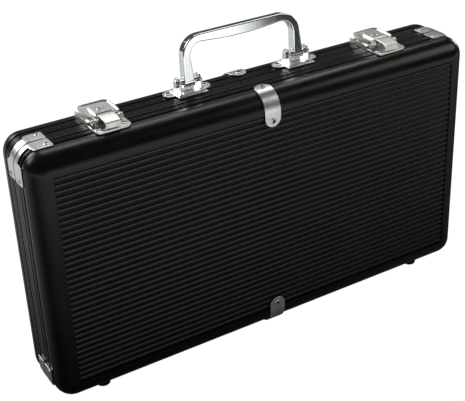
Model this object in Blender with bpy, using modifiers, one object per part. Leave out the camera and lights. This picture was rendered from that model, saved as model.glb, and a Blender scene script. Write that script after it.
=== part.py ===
"""Poker chip case with an aluminium edge frame, standing on its hinge side.

X runs along the case, Y from the lid (front) to the base (rear), Z up. The origin is on the
floor under the middle of the case. Lengths are in metres, angles in degrees.
"""

import math

import bmesh
import bpy
from mathutils import Matrix, Vector

# The case
CASE_LENGTH = 0.387
CASE_HEIGHT = 0.2083
CASE_DEPTH = 0.065
SPLIT_SHIFT = 0.0032  # the halves meet this far in front of the middle
EDGE_RADIUS = 0.015
FACE_BORDER = 0.0163  # flat and rounding, from the side to the ribbed panel
FOOT_HEIGHT = 0.0042
ARC_STEPS = 6  # facets in a quarter turn
DRAWING_SCALE = 1000.0  # outlines are filled at this scale, where small steps stay apart
DRAWING_PLACES = 4  # decimal places of a drawn point, so that straight edges are straight
FLAT_ANGLE = 0.5  # faces closer than this in angle are one face
WELD_DISTANCE = 0.00001
SLICE_DISTANCE = 0.000001  # a vertex this close to a slicing plane is on it

# Clearances
SEAT_GAP = 0.0003  # between pieces that touch
PIN_GAP = 0.0003  # round a pin
SINK = 0.0002  # how far a union reaches into its neighbour
OVERRUN = 0.002  # how far a cutter reaches past the cut

# Edge frame
FRAME_START = 0.0152  # from the middle plane to the frame's inner edge
FRAME_WALL = 0.0012

# Side band
BAND_FACE_END = 0.0143
BAND_TONGUE_END = 0.019
BAND_WALL = 0.0012
BAND_CHAMFER = 0.0009
BAND_CHAMFER_DEPTH = 0.0006
BAND_DIP_DEPTH = 0.0008
BAND_DIP_MOUTH = 0.0022
BAND_DIP_FLOOR = 0.0008
LID_DIP = 0.0075  # from the middle plane to the dip
BASE_DIP = 0.004
BAND_JOINT_INSET = 0.0215  # from the end of the case to the band's joint

# Ribbed panel
PANEL_THICKNESS = 0.002
PANEL_LAP = 0.0023
PANEL_INSET = 0.0004  # crests below the frame's face
RIB_COUNT = 36
RIB_CREST_SHARE = 0.52
RIB_FLOOR_SHARE = 0.16

# Rivets
RIVET_RADIUS = 0.0024
RIVET_TOP_RADIUS = 0.0014
RIVET_HEIGHT = 0.0007
RIVET_SIDES = 10

# Straps over the joints of the edge frame
STRAP_WIDTH = 0.014
STRAP_THICKNESS = 0.001
STRAP_FACE_REACH = 0.0114  # past the rounding, on the large face
STRAP_RIVET_INSET = 0.005
LID_STRAP_TIP = 0.0135  # from the middle plane to the tip
BASE_STRAP_TIP = 0.0108

# Corner brackets
CORNER_THICKNESS = 0.0009
CORNER_REACH = 0.0102  # past the bend, along each side
LID_CORNER_NEAR = 0.0045  # edges, from the middle plane
LID_CORNER_WAIST = 0.0092
LID_CORNER_FAR = 0.0172
LID_LOBE_RADIUS = 0.0035
BASE_CORNER_NEAR = 0.003
BASE_CORNER_WAIST = 0.0045
BASE_CORNER_FAR = 0.0077
CORNER_FLARE = 0.004

# Feet
FOOT_RADIUS = 0.00625
FOOT_TIP_RADIUS = 0.0055
FOOT_INSET = 0.040  # from the end of the case to the foot's middle
FOOT_FROM_MIDDLE = 0.017  # from the middle plane
FOOT_SIDES = 20

# Lining of the lid
LINING_THICKNESS = 0.0015
LINING_INSET = 0.0035  # inside the edge of the panel's flange

# Chip trays
TRAY_TOP = 0.005  # from the middle plane to the trays' top
TRAY_WALL_GAP = 0.0003
TRAY_RADIUS = 0.012
CHIP_DIAMETER = 0.039
CHIP_SLACK = 0.001
ROW_END_WALL = 0.01815
ROW_PITCH = 0.043
ROW_AXIS = 0.0072  # from the middle plane to the chips' middle line
ROW_STEPS = 12
MIDDLE_TRAY_WIDTH = 0.1177
CARD_LENGTH = 0.092
CARD_WIDTH = 0.067
CARD_DEPTH = 0.018
DICE_WIDTH = 0.020
DICE_DEPTH = 0.0145

# Hinges
HINGE_INSET = 0.0835  # from the end of the case to the hinge's middle
HINGE_WIDTH = 0.036
KNUCKLE_RADIUS = 0.0016
KNUCKLE_WALL = 0.0005
KNUCKLE_GAP = 0.0004
LEAF_THICKNESS = 0.001
LEAF_NOTCH = 0.0022  # from the axis to the leaf's edge
LEAF_REACH = 0.0125
LEAF_RIVET_SPREAD = 0.011
LEAF_RIVET_RADIUS = 0.002
HINGE_SIDES = 14

# Latches
LATCH_INSET = 0.070  # from the end of the case to the latch's middle
STRIKE_HALF_WIDTH = 0.014
STRIKE_FRONT = 0.0205
STRIKE_REAR = 0.0037
STRIKE_CORNER = 0.0035
STRIKE_THICKNESS = 0.0012
STRIKE_RIVET_X = 0.0105
STRIKE_RIVET_Y = 0.0145
BEAD_WIDTH = 0.0012
BEAD_HEIGHT = 0.0006
BEAD_FROM = 0.0172
PLATE_FRONT = 0.0029  # in front of the middle plane
PLATE_REAR = 0.021
PLATE_HALF_WIDTH = 0.0137
PLATE_THICKNESS = 0.0012
PLATE_RIVET_X = 0.0065
PLATE_RIVET_Y = 0.0145
RAIL_WIDTH = 0.0017
RAIL_HEIGHT = 0.0033
EAR_INNER = 0.0106
EAR_OUTER = 0.0122
EAR_RADIUS = 0.002
EAR_REAR = 0.004
LEVER_PIN_Y = 0.008  # in front of the middle plane
LEVER_PIN_Z = 0.0048
LEVER_PIN_RADIUS = 0.001
LEVER_PIN_OVERHANG = 0.0003
CHEEK_INNER = 0.009
CHEEK_OUTER = 0.0103
CHEEK_RADIUS = 0.0022
CHEEK_REAR = 0.0145
COVER_FRONT = 0.0029
COVER_REAR = 0.0165
COVER_BOTTOM = 0.0056
COVER_THICKNESS = 0.0012
KEY_PLATE_HALF_WIDTH = 0.006
KEY_PLATE_FRONT = 0.0032
KEY_PLATE_REAR = 0.011
KEY_PLATE_RISE = 0.0014
LIP_RISE = 0.0022
LIP_DEPTH = 0.0028
HOOK_HALF_WIDTH = 0.0057
HOOK_PIN_Y = 0.0056
HOOK_PIN_Z = 0.0066
HOOK_PIN_RADIUS = 0.0007
HOOK_EYE_RADIUS = 0.0017
HOOK_TOP = 0.0082
HOOK_THICKNESS = 0.0013
HOOK_FRONT = 0.0197
HOOK_LOW = 0.00245
HOOK_BEND = 0.0012
PLUG_RADIUS = 0.0028
PLUG_Y = 0.0038
PLUG_RISE = 0.0003
CAM_BOTTOM = 0.0027
CAM_THICKNESS = 0.0011
CAM_LENGTH = 0.0055
CAM_WIDTH = 0.0026
KEYHOLE_WIDTH = 0.0009
KEYHOLE_LENGTH = 0.0036
KEYHOLE_DEPTH = 0.002
CATCH_GAP = 0.0004
CATCH_INNER = 0.0042
CATCH_POST = 0.0062
CATCH_OUTER = 0.0072
CATCH_THICKNESS = 0.0008
CATCH_WIDTH = 0.003

# Handle and its brackets
HANDLE_HALF_SPAN = 0.0488
HANDLE_PIN_Y = 0.008
HANDLE_PIN_Z = 0.009  # above the case
HANDLE_LEAN = 8.0
HANDLE_HEIGHT = 0.0349  # from the pin to the top, along the handle
HANDLE_DEPTH = 0.0074
LEG_FOOT_HALF_WIDTH = 0.0044
LEG_TOP_HALF_WIDTH = 0.0033
BEND_OUTER_RADIUS = 0.0125
BEND_INNER_RADIUS = 0.0065
GRIP_END_THICKNESS = 0.006
GRIP_MIDDLE_THICKNESS = 0.0094
BELLY_STEPS = 10
HANDLE_BEVEL = 0.0014
EYE_RADIUS = 0.0043
EYE_SIDES = 18
BRACKET_HALF_WIDTH = 0.0125
BRACKET_FRONT = 0.0006  # in front of the middle plane
BRACKET_REAR = 0.018
BRACKET_THICKNESS = 0.0011
BRACKET_STEP = 0.0011
BRACKET_STEP_INSET = 0.0013
TONGUE_HALF_SPAN = 0.020
TONGUE_FRONT = 0.0052
TONGUE_REAR = 0.0166
TONGUE_RIVET_X = 0.0158
TONGUE_FILLET = 0.0007
HANDLE_EAR_INNER = 0.008
HANDLE_EAR_OUTER = 0.0095
HANDLE_EAR_RADIUS = 0.005
HANDLE_EAR_FOOT = 0.0062
HANDLE_PIN_RADIUS = 0.002
HANDLE_PIN_HEAD_RADIUS = 0.0031
HANDLE_PIN_HEAD = 0.0012

# Places that follow
HALF_LENGTH = CASE_LENGTH / 2
HALF_DEPTH = CASE_DEPTH / 2
BOTTOM_Z = FOOT_HEIGHT
TOP_Z = BOTTOM_Z + CASE_HEIGHT
MIDDLE_Z = (BOTTOM_Z + TOP_Z) / 2
HALF_HEIGHT = CASE_HEIGHT / 2
BAND_DEPTH = FRAME_WALL + SEAT_GAP + BAND_WALL  # from the case's side to the band's inside
PANEL_FRONT = HALF_DEPTH - FRAME_WALL - SEAT_GAP
PANEL_BACK = PANEL_FRONT - PANEL_THICKNESS
OPEN_HALF_X = HALF_LENGTH - FACE_BORDER
OPEN_HALF_Z = HALF_HEIGHT - FACE_BORDER
BAND_JOINT_X = HALF_LENGTH - BAND_JOINT_INSET
HINGE_X = HALF_LENGTH - HINGE_INSET
HINGE_Y = -SPLIT_SHIFT
HINGE_Z = BOTTOM_Z - SEAT_GAP - KNUCKLE_RADIUS
LATCH_X = HALF_LENGTH - LATCH_INSET
TRAY_HALF_X = HALF_LENGTH - BAND_DEPTH - TRAY_WALL_GAP
TRAY_HALF_Z = HALF_HEIGHT - BAND_DEPTH - TRAY_WALL_GAP

LID = -1
BASE = 1
HALVES = {"lid": LID, "base": BASE}

BLACK = {"colour": (0.012, 0.013, 0.015), "roughness": 0.38, "metallic": 0.6}
NICKEL = {"colour": (0.72, 0.72, 0.71), "roughness": 0.22, "metallic": 1.0}
CHROME = {"colour": (0.78, 0.78, 0.79), "roughness": 0.08, "metallic": 1.0}
RUBBER = {"colour": (0.015, 0.015, 0.015), "roughness": 0.8, "metallic": 0.0}
FLOCK = {"colour": (0.02, 0.02, 0.022), "roughness": 0.95, "metallic": 0.0}


def clear_scene():
    """Remove every object that the file opened with."""
    for obj in list(bpy.data.objects):
        bpy.data.objects.remove(obj, do_unlink=True)


def collection(name):
    """Return a new collection linked to the scene."""
    group = bpy.data.collections.new(name)
    bpy.context.scene.collection.children.link(group)
    return group


def finish_material(name, finish):
    """Return a Principled material of the given finish."""
    material = bpy.data.materials.new(name)
    material.use_nodes = True
    shader = material.node_tree.nodes["Principled BSDF"]
    shader.inputs["Base Color"].default_value = (*finish["colour"], 1.0)
    shader.inputs["Roughness"].default_value = finish["roughness"]
    shader.inputs["Metallic"].default_value = finish["metallic"]
    return material


clear_scene()
CASE = collection("poker_chip_case")
CUTTERS = collection("cutters")


def object_from(name, bm):
    """Link a new object that holds the bmesh."""
    mesh = bpy.data.meshes.new(name)
    bm.to_mesh(mesh)
    bm.free()
    obj = bpy.data.objects.new(name, mesh)
    CASE.objects.link(obj)
    return obj


def block(name, low, high):
    """A box between two corners."""
    low = Vector(low)
    high = Vector(high)
    bm = bmesh.new()
    place = Matrix.Translation((low + high) / 2) @ Matrix.Diagonal((*(high - low), 1))
    bmesh.ops.create_cube(bm, size=1, matrix=place)
    return object_from(name, bm)


def span(first, second):
    """The two values in rising order."""
    return min(first, second), max(first, second)


def rounded_shell_block(name, half_x, half_z, near, far, radius):
    """A box about the case's middle, rounded round its side and on its far face.

    near and far are signed distances from the middle plane.
    """
    low_y, high_y = span(near, far)
    bm = bmesh.new()
    middle = Vector((0, (low_y + high_y) / 2, MIDDLE_Z))
    size = (2 * half_x, high_y - low_y, 2 * half_z, 1)
    bmesh.ops.create_cube(bm, size=1, matrix=Matrix.Translation(middle) @ Matrix.Diagonal(size))
    rounded = []
    for edge in bm.edges:
        first, second = (vert.co for vert in edge.verts)
        along_y = abs(first.y - second.y) > abs(high_y - low_y) / 2
        on_far = all(abs(vert.co.y - far) < abs(vert.co.y - near) for vert in edge.verts)
        if along_y or on_far:
            rounded.append(edge)
    bmesh.ops.bevel(
        bm, geom=rounded, offset=radius, offset_type="OFFSET", segments=ARC_STEPS,
        profile=0.5, affect="EDGES", clamp_overlap=False,
    )
    return object_from(name, bm)


def rod(name, centre, axis, radius, length, sides, tip_radius=None):
    """A cylinder, or a cone when tip_radius is given, centred on a point along an axis."""
    bm = bmesh.new()
    turn = Vector((0, 0, 1)).rotation_difference(Vector(axis)).to_matrix().to_4x4()
    bmesh.ops.create_cone(
        bm, cap_ends=True, segments=sides, radius1=radius,
        radius2=radius if tip_radius is None else tip_radius, depth=length,
        matrix=Matrix.Translation(centre) @ turn,
    )
    return object_from(name, bm)


def drawn_point(x, y):
    """A point of an outline at the drawing's scale."""
    return tuple(round(value * DRAWING_SCALE, DRAWING_PLACES) for value in (x, y))


def plate(name, points, thickness, place):
    """A flat outline, drawn in X and Y and centred in its thickness, put where place says."""
    curve = bpy.data.curves.new(name, "CURVE")
    curve.dimensions = "2D"
    curve.fill_mode = "BOTH"
    curve.extrude = thickness / 2 * DRAWING_SCALE
    spline = curve.splines.new("POLY")
    spline.points.add(len(points) - 1)
    for point, (x, y) in zip(spline.points, points):
        point.co = (*drawn_point(x, y), 0, 1)
    spline.use_cyclic_u = True
    drawn = bpy.data.objects.new(name + "_outline", curve)
    CASE.objects.link(drawn)
    drawn.matrix_world = place @ Matrix.Scale(1 / DRAWING_SCALE, 4)
    return meshed(drawn, name)


def face_outward(bm):
    """Make the faces of a closed body agree and point out."""
    bmesh.ops.recalc_face_normals(bm, faces=bm.faces)
    if bm.calc_volume(signed=True) < 0:
        bmesh.ops.reverse_faces(bm, faces=bm.faces)


def meshed(curve_object, name):
    """Turn a curve object into a welded mesh object of the given name."""
    bpy.context.view_layer.update()
    depsgraph = bpy.context.evaluated_depsgraph_get()
    mesh = bpy.data.meshes.new_from_object(curve_object.evaluated_get(depsgraph))
    mesh.transform(curve_object.matrix_world)
    bm = bmesh.new()
    bm.from_mesh(mesh)
    bpy.data.meshes.remove(mesh)
    bmesh.ops.remove_doubles(bm, verts=bm.verts, dist=WELD_DISTANCE)
    bmesh.ops.dissolve_limit(
        bm, angle_limit=math.radians(FLAT_ANGLE), verts=bm.verts, edges=bm.edges,
    )
    face_outward(bm)
    bpy.data.objects.remove(curve_object, do_unlink=True)
    return object_from(name, bm)


def apply_modifiers(obj):
    """Replace an object's mesh by what its modifiers make of it."""
    bpy.context.view_layer.update()
    depsgraph = bpy.context.evaluated_depsgraph_get()
    mesh = bpy.data.meshes.new_from_object(obj.evaluated_get(depsgraph))
    obj.modifiers.clear()
    obj.data = mesh
    return obj


def combine(obj, operation, tools):
    """Join the tools to the object, or cut them from it, and remove them."""
    for tool in tools:
        boolean = obj.modifiers.new(operation.lower(), "BOOLEAN")
        boolean.operation = operation
        boolean.solver = "EXACT"
        boolean.use_self = True
        boolean.object = tool
        apply_modifiers(obj)
        bpy.data.objects.remove(tool, do_unlink=True)
    return obj


def join(obj, *tools):
    """Union the tools with the object."""
    return combine(obj, "UNION", tools)


def cut(obj, *tools):
    """Cut the tools out of the object."""
    return combine(obj, "DIFFERENCE", tools)


def dress(obj, material, smooth=False):
    """Give the object its material and its shading."""
    obj.data.materials.clear()
    obj.data.materials.append(material)
    if smooth:
        obj.data.shade_smooth()
        obj.data.set_sharp_from_angle(angle=math.radians(35))
    return obj


def fit(obj, place, pivot=(0, 0, 0)):
    """Put a piece, drawn about its own zero, at its place, with its origin at its pivot."""
    obj.data.transform(Matrix.Translation(-Vector(pivot)))
    obj.location = Vector(place) + Vector(pivot)
    return obj


def arc(centre, radius, start, end, steps):
    """Points along an arc, in degrees, both ends included."""
    points = []
    for step in range(steps + 1):
        angle = math.radians(start + (end - start) * step / steps)
        points.append((centre[0] + radius * math.cos(angle), centre[1] + radius * math.sin(angle)))
    return points


# Draws an outline's X as Y and its Y as Z, with the thickness along X.
SIDEWAYS = Matrix(((0, 0, 1, 0), (1, 0, 0, 0), (0, 1, 0, 0), (0, 0, 0, 1)))
# Draws an outline's Y as Z, with the thickness along Y.
UPRIGHT = Matrix(((1, 0, 0, 0), (0, 0, -1, 0), (0, 1, 0, 0), (0, 0, 0, 1)))


def at(x, y, z):
    """A translation."""
    return Matrix.Translation((x, y, z))


def rivet(name, centre, axis, radius=RIVET_RADIUS):
    """A low rivet head that stands on a surface point and reaches a little below it."""
    axis = Vector(axis)
    length = RIVET_HEIGHT + SINK
    middle = Vector(centre) + axis * (RIVET_HEIGHT - SINK) / 2
    tip = radius * RIVET_TOP_RADIUS / RIVET_RADIUS
    return rod(name, middle, axis, radius, length, RIVET_SIDES, tip)


def edge_frame(name, side, end):
    """Half of the edge frame of one half of the case, a rounded shell cut at the middle."""
    near = side * FRAME_START
    shell = rounded_shell_block(
        name, HALF_LENGTH, HALF_HEIGHT, near, side * HALF_DEPTH, EDGE_RADIUS
    )
    hollow = rounded_shell_block(
        "hollow", HALF_LENGTH - FRAME_WALL, HALF_HEIGHT - FRAME_WALL,
        near - side * OVERRUN, side * (HALF_DEPTH - FRAME_WALL), EDGE_RADIUS - FRAME_WALL,
    )
    low_y, high_y = span(near, side * (HALF_DEPTH + OVERRUN))
    window = block(
        "window", (-OPEN_HALF_X, low_y, MIDDLE_Z - OPEN_HALF_Z),
        (OPEN_HALF_X, high_y, MIDDLE_Z + OPEN_HALF_Z),
    )
    low_x, high_x = span(end * SEAT_GAP / 2, -end * (HALF_LENGTH + OVERRUN))
    other_end = block(
        "other_end", (low_x, -HALF_DEPTH - OVERRUN, BOTTOM_Z - OVERRUN),
        (high_x, HALF_DEPTH + OVERRUN, TOP_Z + OVERRUN),
    )
    return cut(shell, hollow, window, other_end)


def band_outline(side):
    """The band's section: distance from the middle plane along the side, and depth."""
    start = SEAT_GAP / 2 - side * SPLIT_SHIFT
    dip = LID_DIP if side == LID else BASE_DIP
    tongue = FRAME_WALL + SEAT_GAP
    return [
        (start, BAND_CHAMFER_DEPTH),
        (start + BAND_CHAMFER, 0),
        (dip - BAND_DIP_MOUTH / 2, 0),
        (dip - BAND_DIP_FLOOR / 2, BAND_DIP_DEPTH),
        (dip + BAND_DIP_FLOOR / 2, BAND_DIP_DEPTH),
        (dip + BAND_DIP_MOUTH / 2, 0),
        (BAND_FACE_END - BAND_CHAMFER, 0),
        (BAND_FACE_END, BAND_CHAMFER_DEPTH),
        (BAND_FACE_END, tongue),
        (BAND_TONGUE_END, tongue),
        (BAND_TONGUE_END, BAND_DEPTH),
        (start, BAND_DEPTH),
    ]


def straight_band(name, side, up):
    """The length of the side band along the top (up = 1) or the bottom (up = -1)."""
    edge = MIDDLE_Z + up * HALF_HEIGHT
    points = [(side * along, edge - up * depth) for along, depth in band_outline(side)]
    return plate(name, points, 2 * (BAND_JOINT_X - SEAT_GAP), SIDEWAYS)


def bent_band(name, side, end):
    """The length of the side band that goes round one end of the case."""
    bm = bmesh.new()
    verts = []
    for along, depth in band_outline(side):
        verts.append(bm.verts.new((end * BAND_JOINT_X, side * along, TOP_Z - depth)))
    section = bm.faces.new(verts)
    bend_x = end * (HALF_LENGTH - EDGE_RADIUS)
    run = bend_x - end * BAND_JOINT_X
    height = CASE_HEIGHT - 2 * EDGE_RADIUS
    section = extruded(bm, section, (run, 0, 0))
    section = turned(bm, section, (bend_x, 0, TOP_Z - EDGE_RADIUS), end)
    section = extruded(bm, section, (0, 0, -height))
    section = turned(bm, section, (bend_x, 0, BOTTOM_Z + EDGE_RADIUS), end)
    extruded(bm, section, (-run, 0, 0))
    face_outward(bm)
    return object_from(name, bm)


def long_bar(name, points, length):
    """A section drawn in Y and Z, carried along X and centred there."""
    bm = bmesh.new()
    section = bm.faces.new([bm.verts.new((-length / 2, y, z)) for y, z in points])
    extruded(bm, section, (length, 0, 0))
    face_outward(bm)
    return object_from(name, bm)


def extruded(bm, face, move):
    """Extrude one face by a vector and return the face at the far end."""
    made = bmesh.ops.extrude_face_region(bm, geom=[face])
    verts = [item for item in made["geom"] if isinstance(item, bmesh.types.BMVert)]
    bmesh.ops.translate(bm, verts=verts, vec=move)
    drop_if_inside(bm, face)
    return next(item for item in made["geom"] if isinstance(item, bmesh.types.BMFace))


def turned(bm, face, centre, end):
    """Turn one face a quarter about Y and return the face at the far end."""
    geometry = [face, *face.edges, *face.verts]
    made = bmesh.ops.spin(
        bm, geom=geometry, cent=centre, axis=(0, 1, 0), dvec=(0, 0, 0),
        angle=end * math.pi / 2, steps=ARC_STEPS, use_duplicate=False,
    )
    drop_if_inside(bm, face)
    return next(item for item in made["geom_last"] if isinstance(item, bmesh.types.BMFace))


def drop_if_inside(bm, face):
    """Delete a section that the last sweep left inside the solid."""
    if face.is_valid and any(len(edge.link_faces) > 2 for edge in face.edges):
        bmesh.ops.delete(bm, geom=[face], context="FACES_ONLY")


def ribbed_panel(name, side):
    """The large panel: a thin plate behind the frame's lip and a ribbed field in its window."""
    low_y, high_y = span(side * PANEL_BACK, side * PANEL_FRONT)
    half_x = OPEN_HALF_X + PANEL_LAP
    half_z = OPEN_HALF_Z + PANEL_LAP
    flange = block(
        name, (-half_x, low_y, MIDDLE_Z - half_z), (half_x, high_y, MIDDLE_Z + half_z)
    )
    crest = HALF_DEPTH - PANEL_INSET
    pitch = 2 * OPEN_HALF_Z / RIB_COUNT
    low_z = MIDDLE_Z - OPEN_HALF_Z + SEAT_GAP
    high_z = MIDDLE_Z + OPEN_HALF_Z - SEAT_GAP
    foot = (1 - RIB_FLOOR_SHARE) / 2 * pitch
    shoulder = RIB_CREST_SHARE / 2 * pitch
    points = [(side * (PANEL_FRONT - SINK), low_z)]
    for rib in range(RIB_COUNT):
        middle = MIDDLE_Z - OPEN_HALF_Z + (rib + 0.5) * pitch
        points.append((side * (PANEL_FRONT + SINK), max(middle - foot, low_z)))
        points.append((side * crest, middle - shoulder))
        points.append((side * crest, middle + shoulder))
        points.append((side * (PANEL_FRONT + SINK), min(middle + foot, high_z)))
    points.append((side * (PANEL_FRONT - SINK), high_z))
    return join(flange, long_bar("field", points, 2 * (OPEN_HALF_X - SEAT_GAP)))


def lid_lining(name):
    """The thin lining behind the lid's panel."""
    high_y = -(PANEL_BACK - SEAT_GAP)
    half_x = OPEN_HALF_X + PANEL_LAP - LINING_INSET
    half_z = OPEN_HALF_Z + PANEL_LAP - LINING_INSET
    return block(
        name, (-half_x, high_y, MIDDLE_Z - half_z),
        (half_x, high_y + LINING_THICKNESS, MIDDLE_Z + half_z),
    )


def fold(obj, radius, centre, first, second, across):
    """Wrap a flat piece round a quarter bend of the case.

    The piece is drawn with X along the bend, measured from its middle, Y across it and Z
    above the case's surface. first and second are the outward directions of the two flats.
    """
    quarter = radius * math.pi / 2
    bm = bmesh.new()
    bm.from_mesh(obj.data)
    for step in range(ARC_STEPS + 1):
        line = quarter * (step / ARC_STEPS - 1 / 2)
        bmesh.ops.bisect_plane(
            bm, geom=[*bm.verts, *bm.edges, *bm.faces], plane_co=(line, 0, 0),
            plane_no=(1, 0, 0), dist=SLICE_DISTANCE,
        )
    centre = Vector(centre)
    first = Vector(first)
    second = Vector(second)
    across = Vector(across)
    for vert in bm.verts:
        along, sideways, above = vert.co
        inside = max(-quarter / 2, min(quarter / 2, along))
        angle = inside / radius + math.pi / 4
        outward = first * math.cos(angle) + second * math.sin(angle)
        tangent = second * math.cos(angle) - first * math.sin(angle)
        past = along - inside
        vert.co = centre + outward * (radius + above) + tangent * past + across * sideways
    face_outward(bm)
    bm.to_mesh(obj.data)
    bm.free()
    return obj


def edge_strap(name, side, up):
    """The riveted strap over the frame's joint, round the long edge of one half."""
    quarter = EDGE_RADIUS * math.pi / 2
    tip = LID_STRAP_TIP if side == LID else BASE_STRAP_TIP
    start = -quarter / 2 - (HALF_DEPTH - EDGE_RADIUS - tip)
    end = quarter / 2 + STRAP_FACE_REACH
    radius = STRAP_WIDTH / 2
    points = arc((end - radius, 0), radius, -90, 90, ARC_STEPS)
    points += arc((start + radius, 0), radius, 90, 270, ARC_STEPS)
    middle = SEAT_GAP + STRAP_THICKNESS / 2
    strap = plate(name, points, STRAP_THICKNESS, at(0, 0, middle))
    top = SEAT_GAP + STRAP_THICKNESS
    rivets = []
    for along in (start + STRAP_RIVET_INSET, end - STRAP_RIVET_INSET):
        rivets.append(rivet("rivet", (along, 0, top), (0, 0, 1)))
    join(strap, *rivets)
    centre = (0, side * (HALF_DEPTH - EDGE_RADIUS), MIDDLE_Z + up * (HALF_HEIGHT - EDGE_RADIUS))
    return fold(strap, EDGE_RADIUS, centre, (0, 0, up), (0, side, 0), (1, 0, 0))


def lid_corner_outline(end):
    """A narrow strip with a riveted lobe at each end, which hangs over the band's groove."""
    lobe_x = end - LID_LOBE_RADIUS
    lobe_y = LID_CORNER_FAR - LID_LOBE_RADIUS
    neck = lobe_x - LID_LOBE_RADIUS
    half = [
        (0, LID_CORNER_NEAR),
        (end - LID_LOBE_RADIUS / 2, LID_CORNER_NEAR),
        (end, LID_CORNER_NEAR + LID_LOBE_RADIUS / 2),
        *arc((lobe_x, lobe_y), LID_LOBE_RADIUS, 0, 180, ARC_STEPS),
        (neck, LID_CORNER_WAIST + LID_LOBE_RADIUS / 2),
        (neck - LID_LOBE_RADIUS / 2, LID_CORNER_WAIST),
        (0, LID_CORNER_WAIST),
    ]
    return half, (lobe_x, lobe_y)


def base_corner_outline(end):
    """A strip that widens to a riveted round tab at each end."""
    near = -BASE_CORNER_NEAR
    radius = (BASE_CORNER_FAR - near) / 2
    middle = near + radius
    tab_x = end - radius
    half = [
        (0, near),
        *arc((tab_x, middle), radius, -90, 90, ARC_STEPS),
        (tab_x - radius / 2, BASE_CORNER_FAR),
        (tab_x - radius / 2 - CORNER_FLARE, BASE_CORNER_WAIST),
        (0, BASE_CORNER_WAIST),
    ]
    return half, (tab_x, middle)


def corner_bracket(name, side, up, end):
    """The riveted bracket that joins the band's lengths round one corner."""
    reach = EDGE_RADIUS * math.pi / 4 + CORNER_REACH
    outline = lid_corner_outline if side == LID else base_corner_outline
    half, spot = outline(reach)
    mirrored = [(-along, across) for along, across in reversed(half[1:-1])]
    points = half + mirrored
    middle = SEAT_GAP + CORNER_THICKNESS / 2
    bracket = plate(name, points, CORNER_THICKNESS, at(0, 0, middle))
    top = SEAT_GAP + CORNER_THICKNESS
    rivets = []
    for direction in (-1, 1):
        rivets.append(rivet("rivet", (direction * spot[0], spot[1], top), (0, 0, 1)))
    join(bracket, *rivets)
    centre = (
        end * (HALF_LENGTH - EDGE_RADIUS), 0, MIDDLE_Z + up * (HALF_HEIGHT - EDGE_RADIUS)
    )
    return fold(bracket, EDGE_RADIUS, centre, (0, 0, up), (end, 0, 0), (0, side, 0))


def foot(name, side, end):
    """A rubber foot, wider where it meets the case."""
    height = FOOT_HEIGHT - SEAT_GAP
    centre = (end * (HALF_LENGTH - FOOT_INSET), side * FOOT_FROM_MIDDLE, height / 2)
    return rod(name, centre, (0, 0, 1), FOOT_TIP_RADIUS, height, FOOT_SIDES, FOOT_RADIUS)


def tray_block(name, low_x, high_x):
    """The stretch of the moulded tray between two places along the case."""
    tray = rounded_shell_block(
        name, TRAY_HALF_X, TRAY_HALF_Z, TRAY_TOP, PANEL_BACK - SEAT_GAP, TRAY_RADIUS
    )
    low_y = TRAY_TOP - OVERRUN
    high_y = HALF_DEPTH
    low_z = BOTTOM_Z
    high_z = TOP_Z
    if low_x > -TRAY_HALF_X:
        cut(tray, block("left_of_tray", (-HALF_LENGTH, low_y, low_z), (low_x, high_y, high_z)))
    if high_x < TRAY_HALF_X:
        cut(tray, block("right_of_tray", (high_x, low_y, low_z), (HALF_LENGTH, high_y, high_z)))
    return tray


def chip_tray(name, end):
    """Round-bottomed rows for chips at one end of the case, as many as fit."""
    inner = MIDDLE_TRAY_WIDTH / 2 + SEAT_GAP
    low_x, high_x = span(end * inner, end * HALF_LENGTH)
    tray = tray_block(name, low_x, high_x)
    width = TRAY_HALF_X - inner
    count = int(width // ROW_PITCH)
    margin = (width - count * ROW_PITCH) / 2
    length = 2 * (TRAY_HALF_Z - ROW_END_WALL)
    radius = (CHIP_DIAMETER + CHIP_SLACK) / 2
    for row in range(count):
        middle = end * (inner + margin + (row + 0.5) * ROW_PITCH)
        points = [(middle - radius, TRAY_TOP - OVERRUN)]
        points.append((middle + radius, TRAY_TOP - OVERRUN))
        points += arc((middle, ROW_AXIS), radius, 0, 180, ROW_STEPS)
        cut(tray, plate("row", points, length, at(0, 0, MIDDLE_Z)))
    return tray


def middle_tray(name):
    """Two wells for packs of cards, with a dice well between them."""
    half = MIDDLE_TRAY_WIDTH / 2
    tray = tray_block(name, -half, half)
    wall = (2 * TRAY_HALF_Z - 2 * CARD_WIDTH - DICE_WIDTH) / 4
    card_z = DICE_WIDTH / 2 + wall + CARD_WIDTH / 2
    wells = [(card_z, CARD_WIDTH, CARD_DEPTH), (0, DICE_WIDTH, DICE_DEPTH)]
    wells.append((-card_z, CARD_WIDTH, CARD_DEPTH))
    for middle, width, depth in wells:
        low = (-CARD_LENGTH / 2, TRAY_TOP - OVERRUN, MIDDLE_Z + middle - width / 2)
        high = (CARD_LENGTH / 2, TRAY_TOP + depth, MIDDLE_Z + middle + width / 2)
        cut(tray, block("well", low, high))
    return tray


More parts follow.
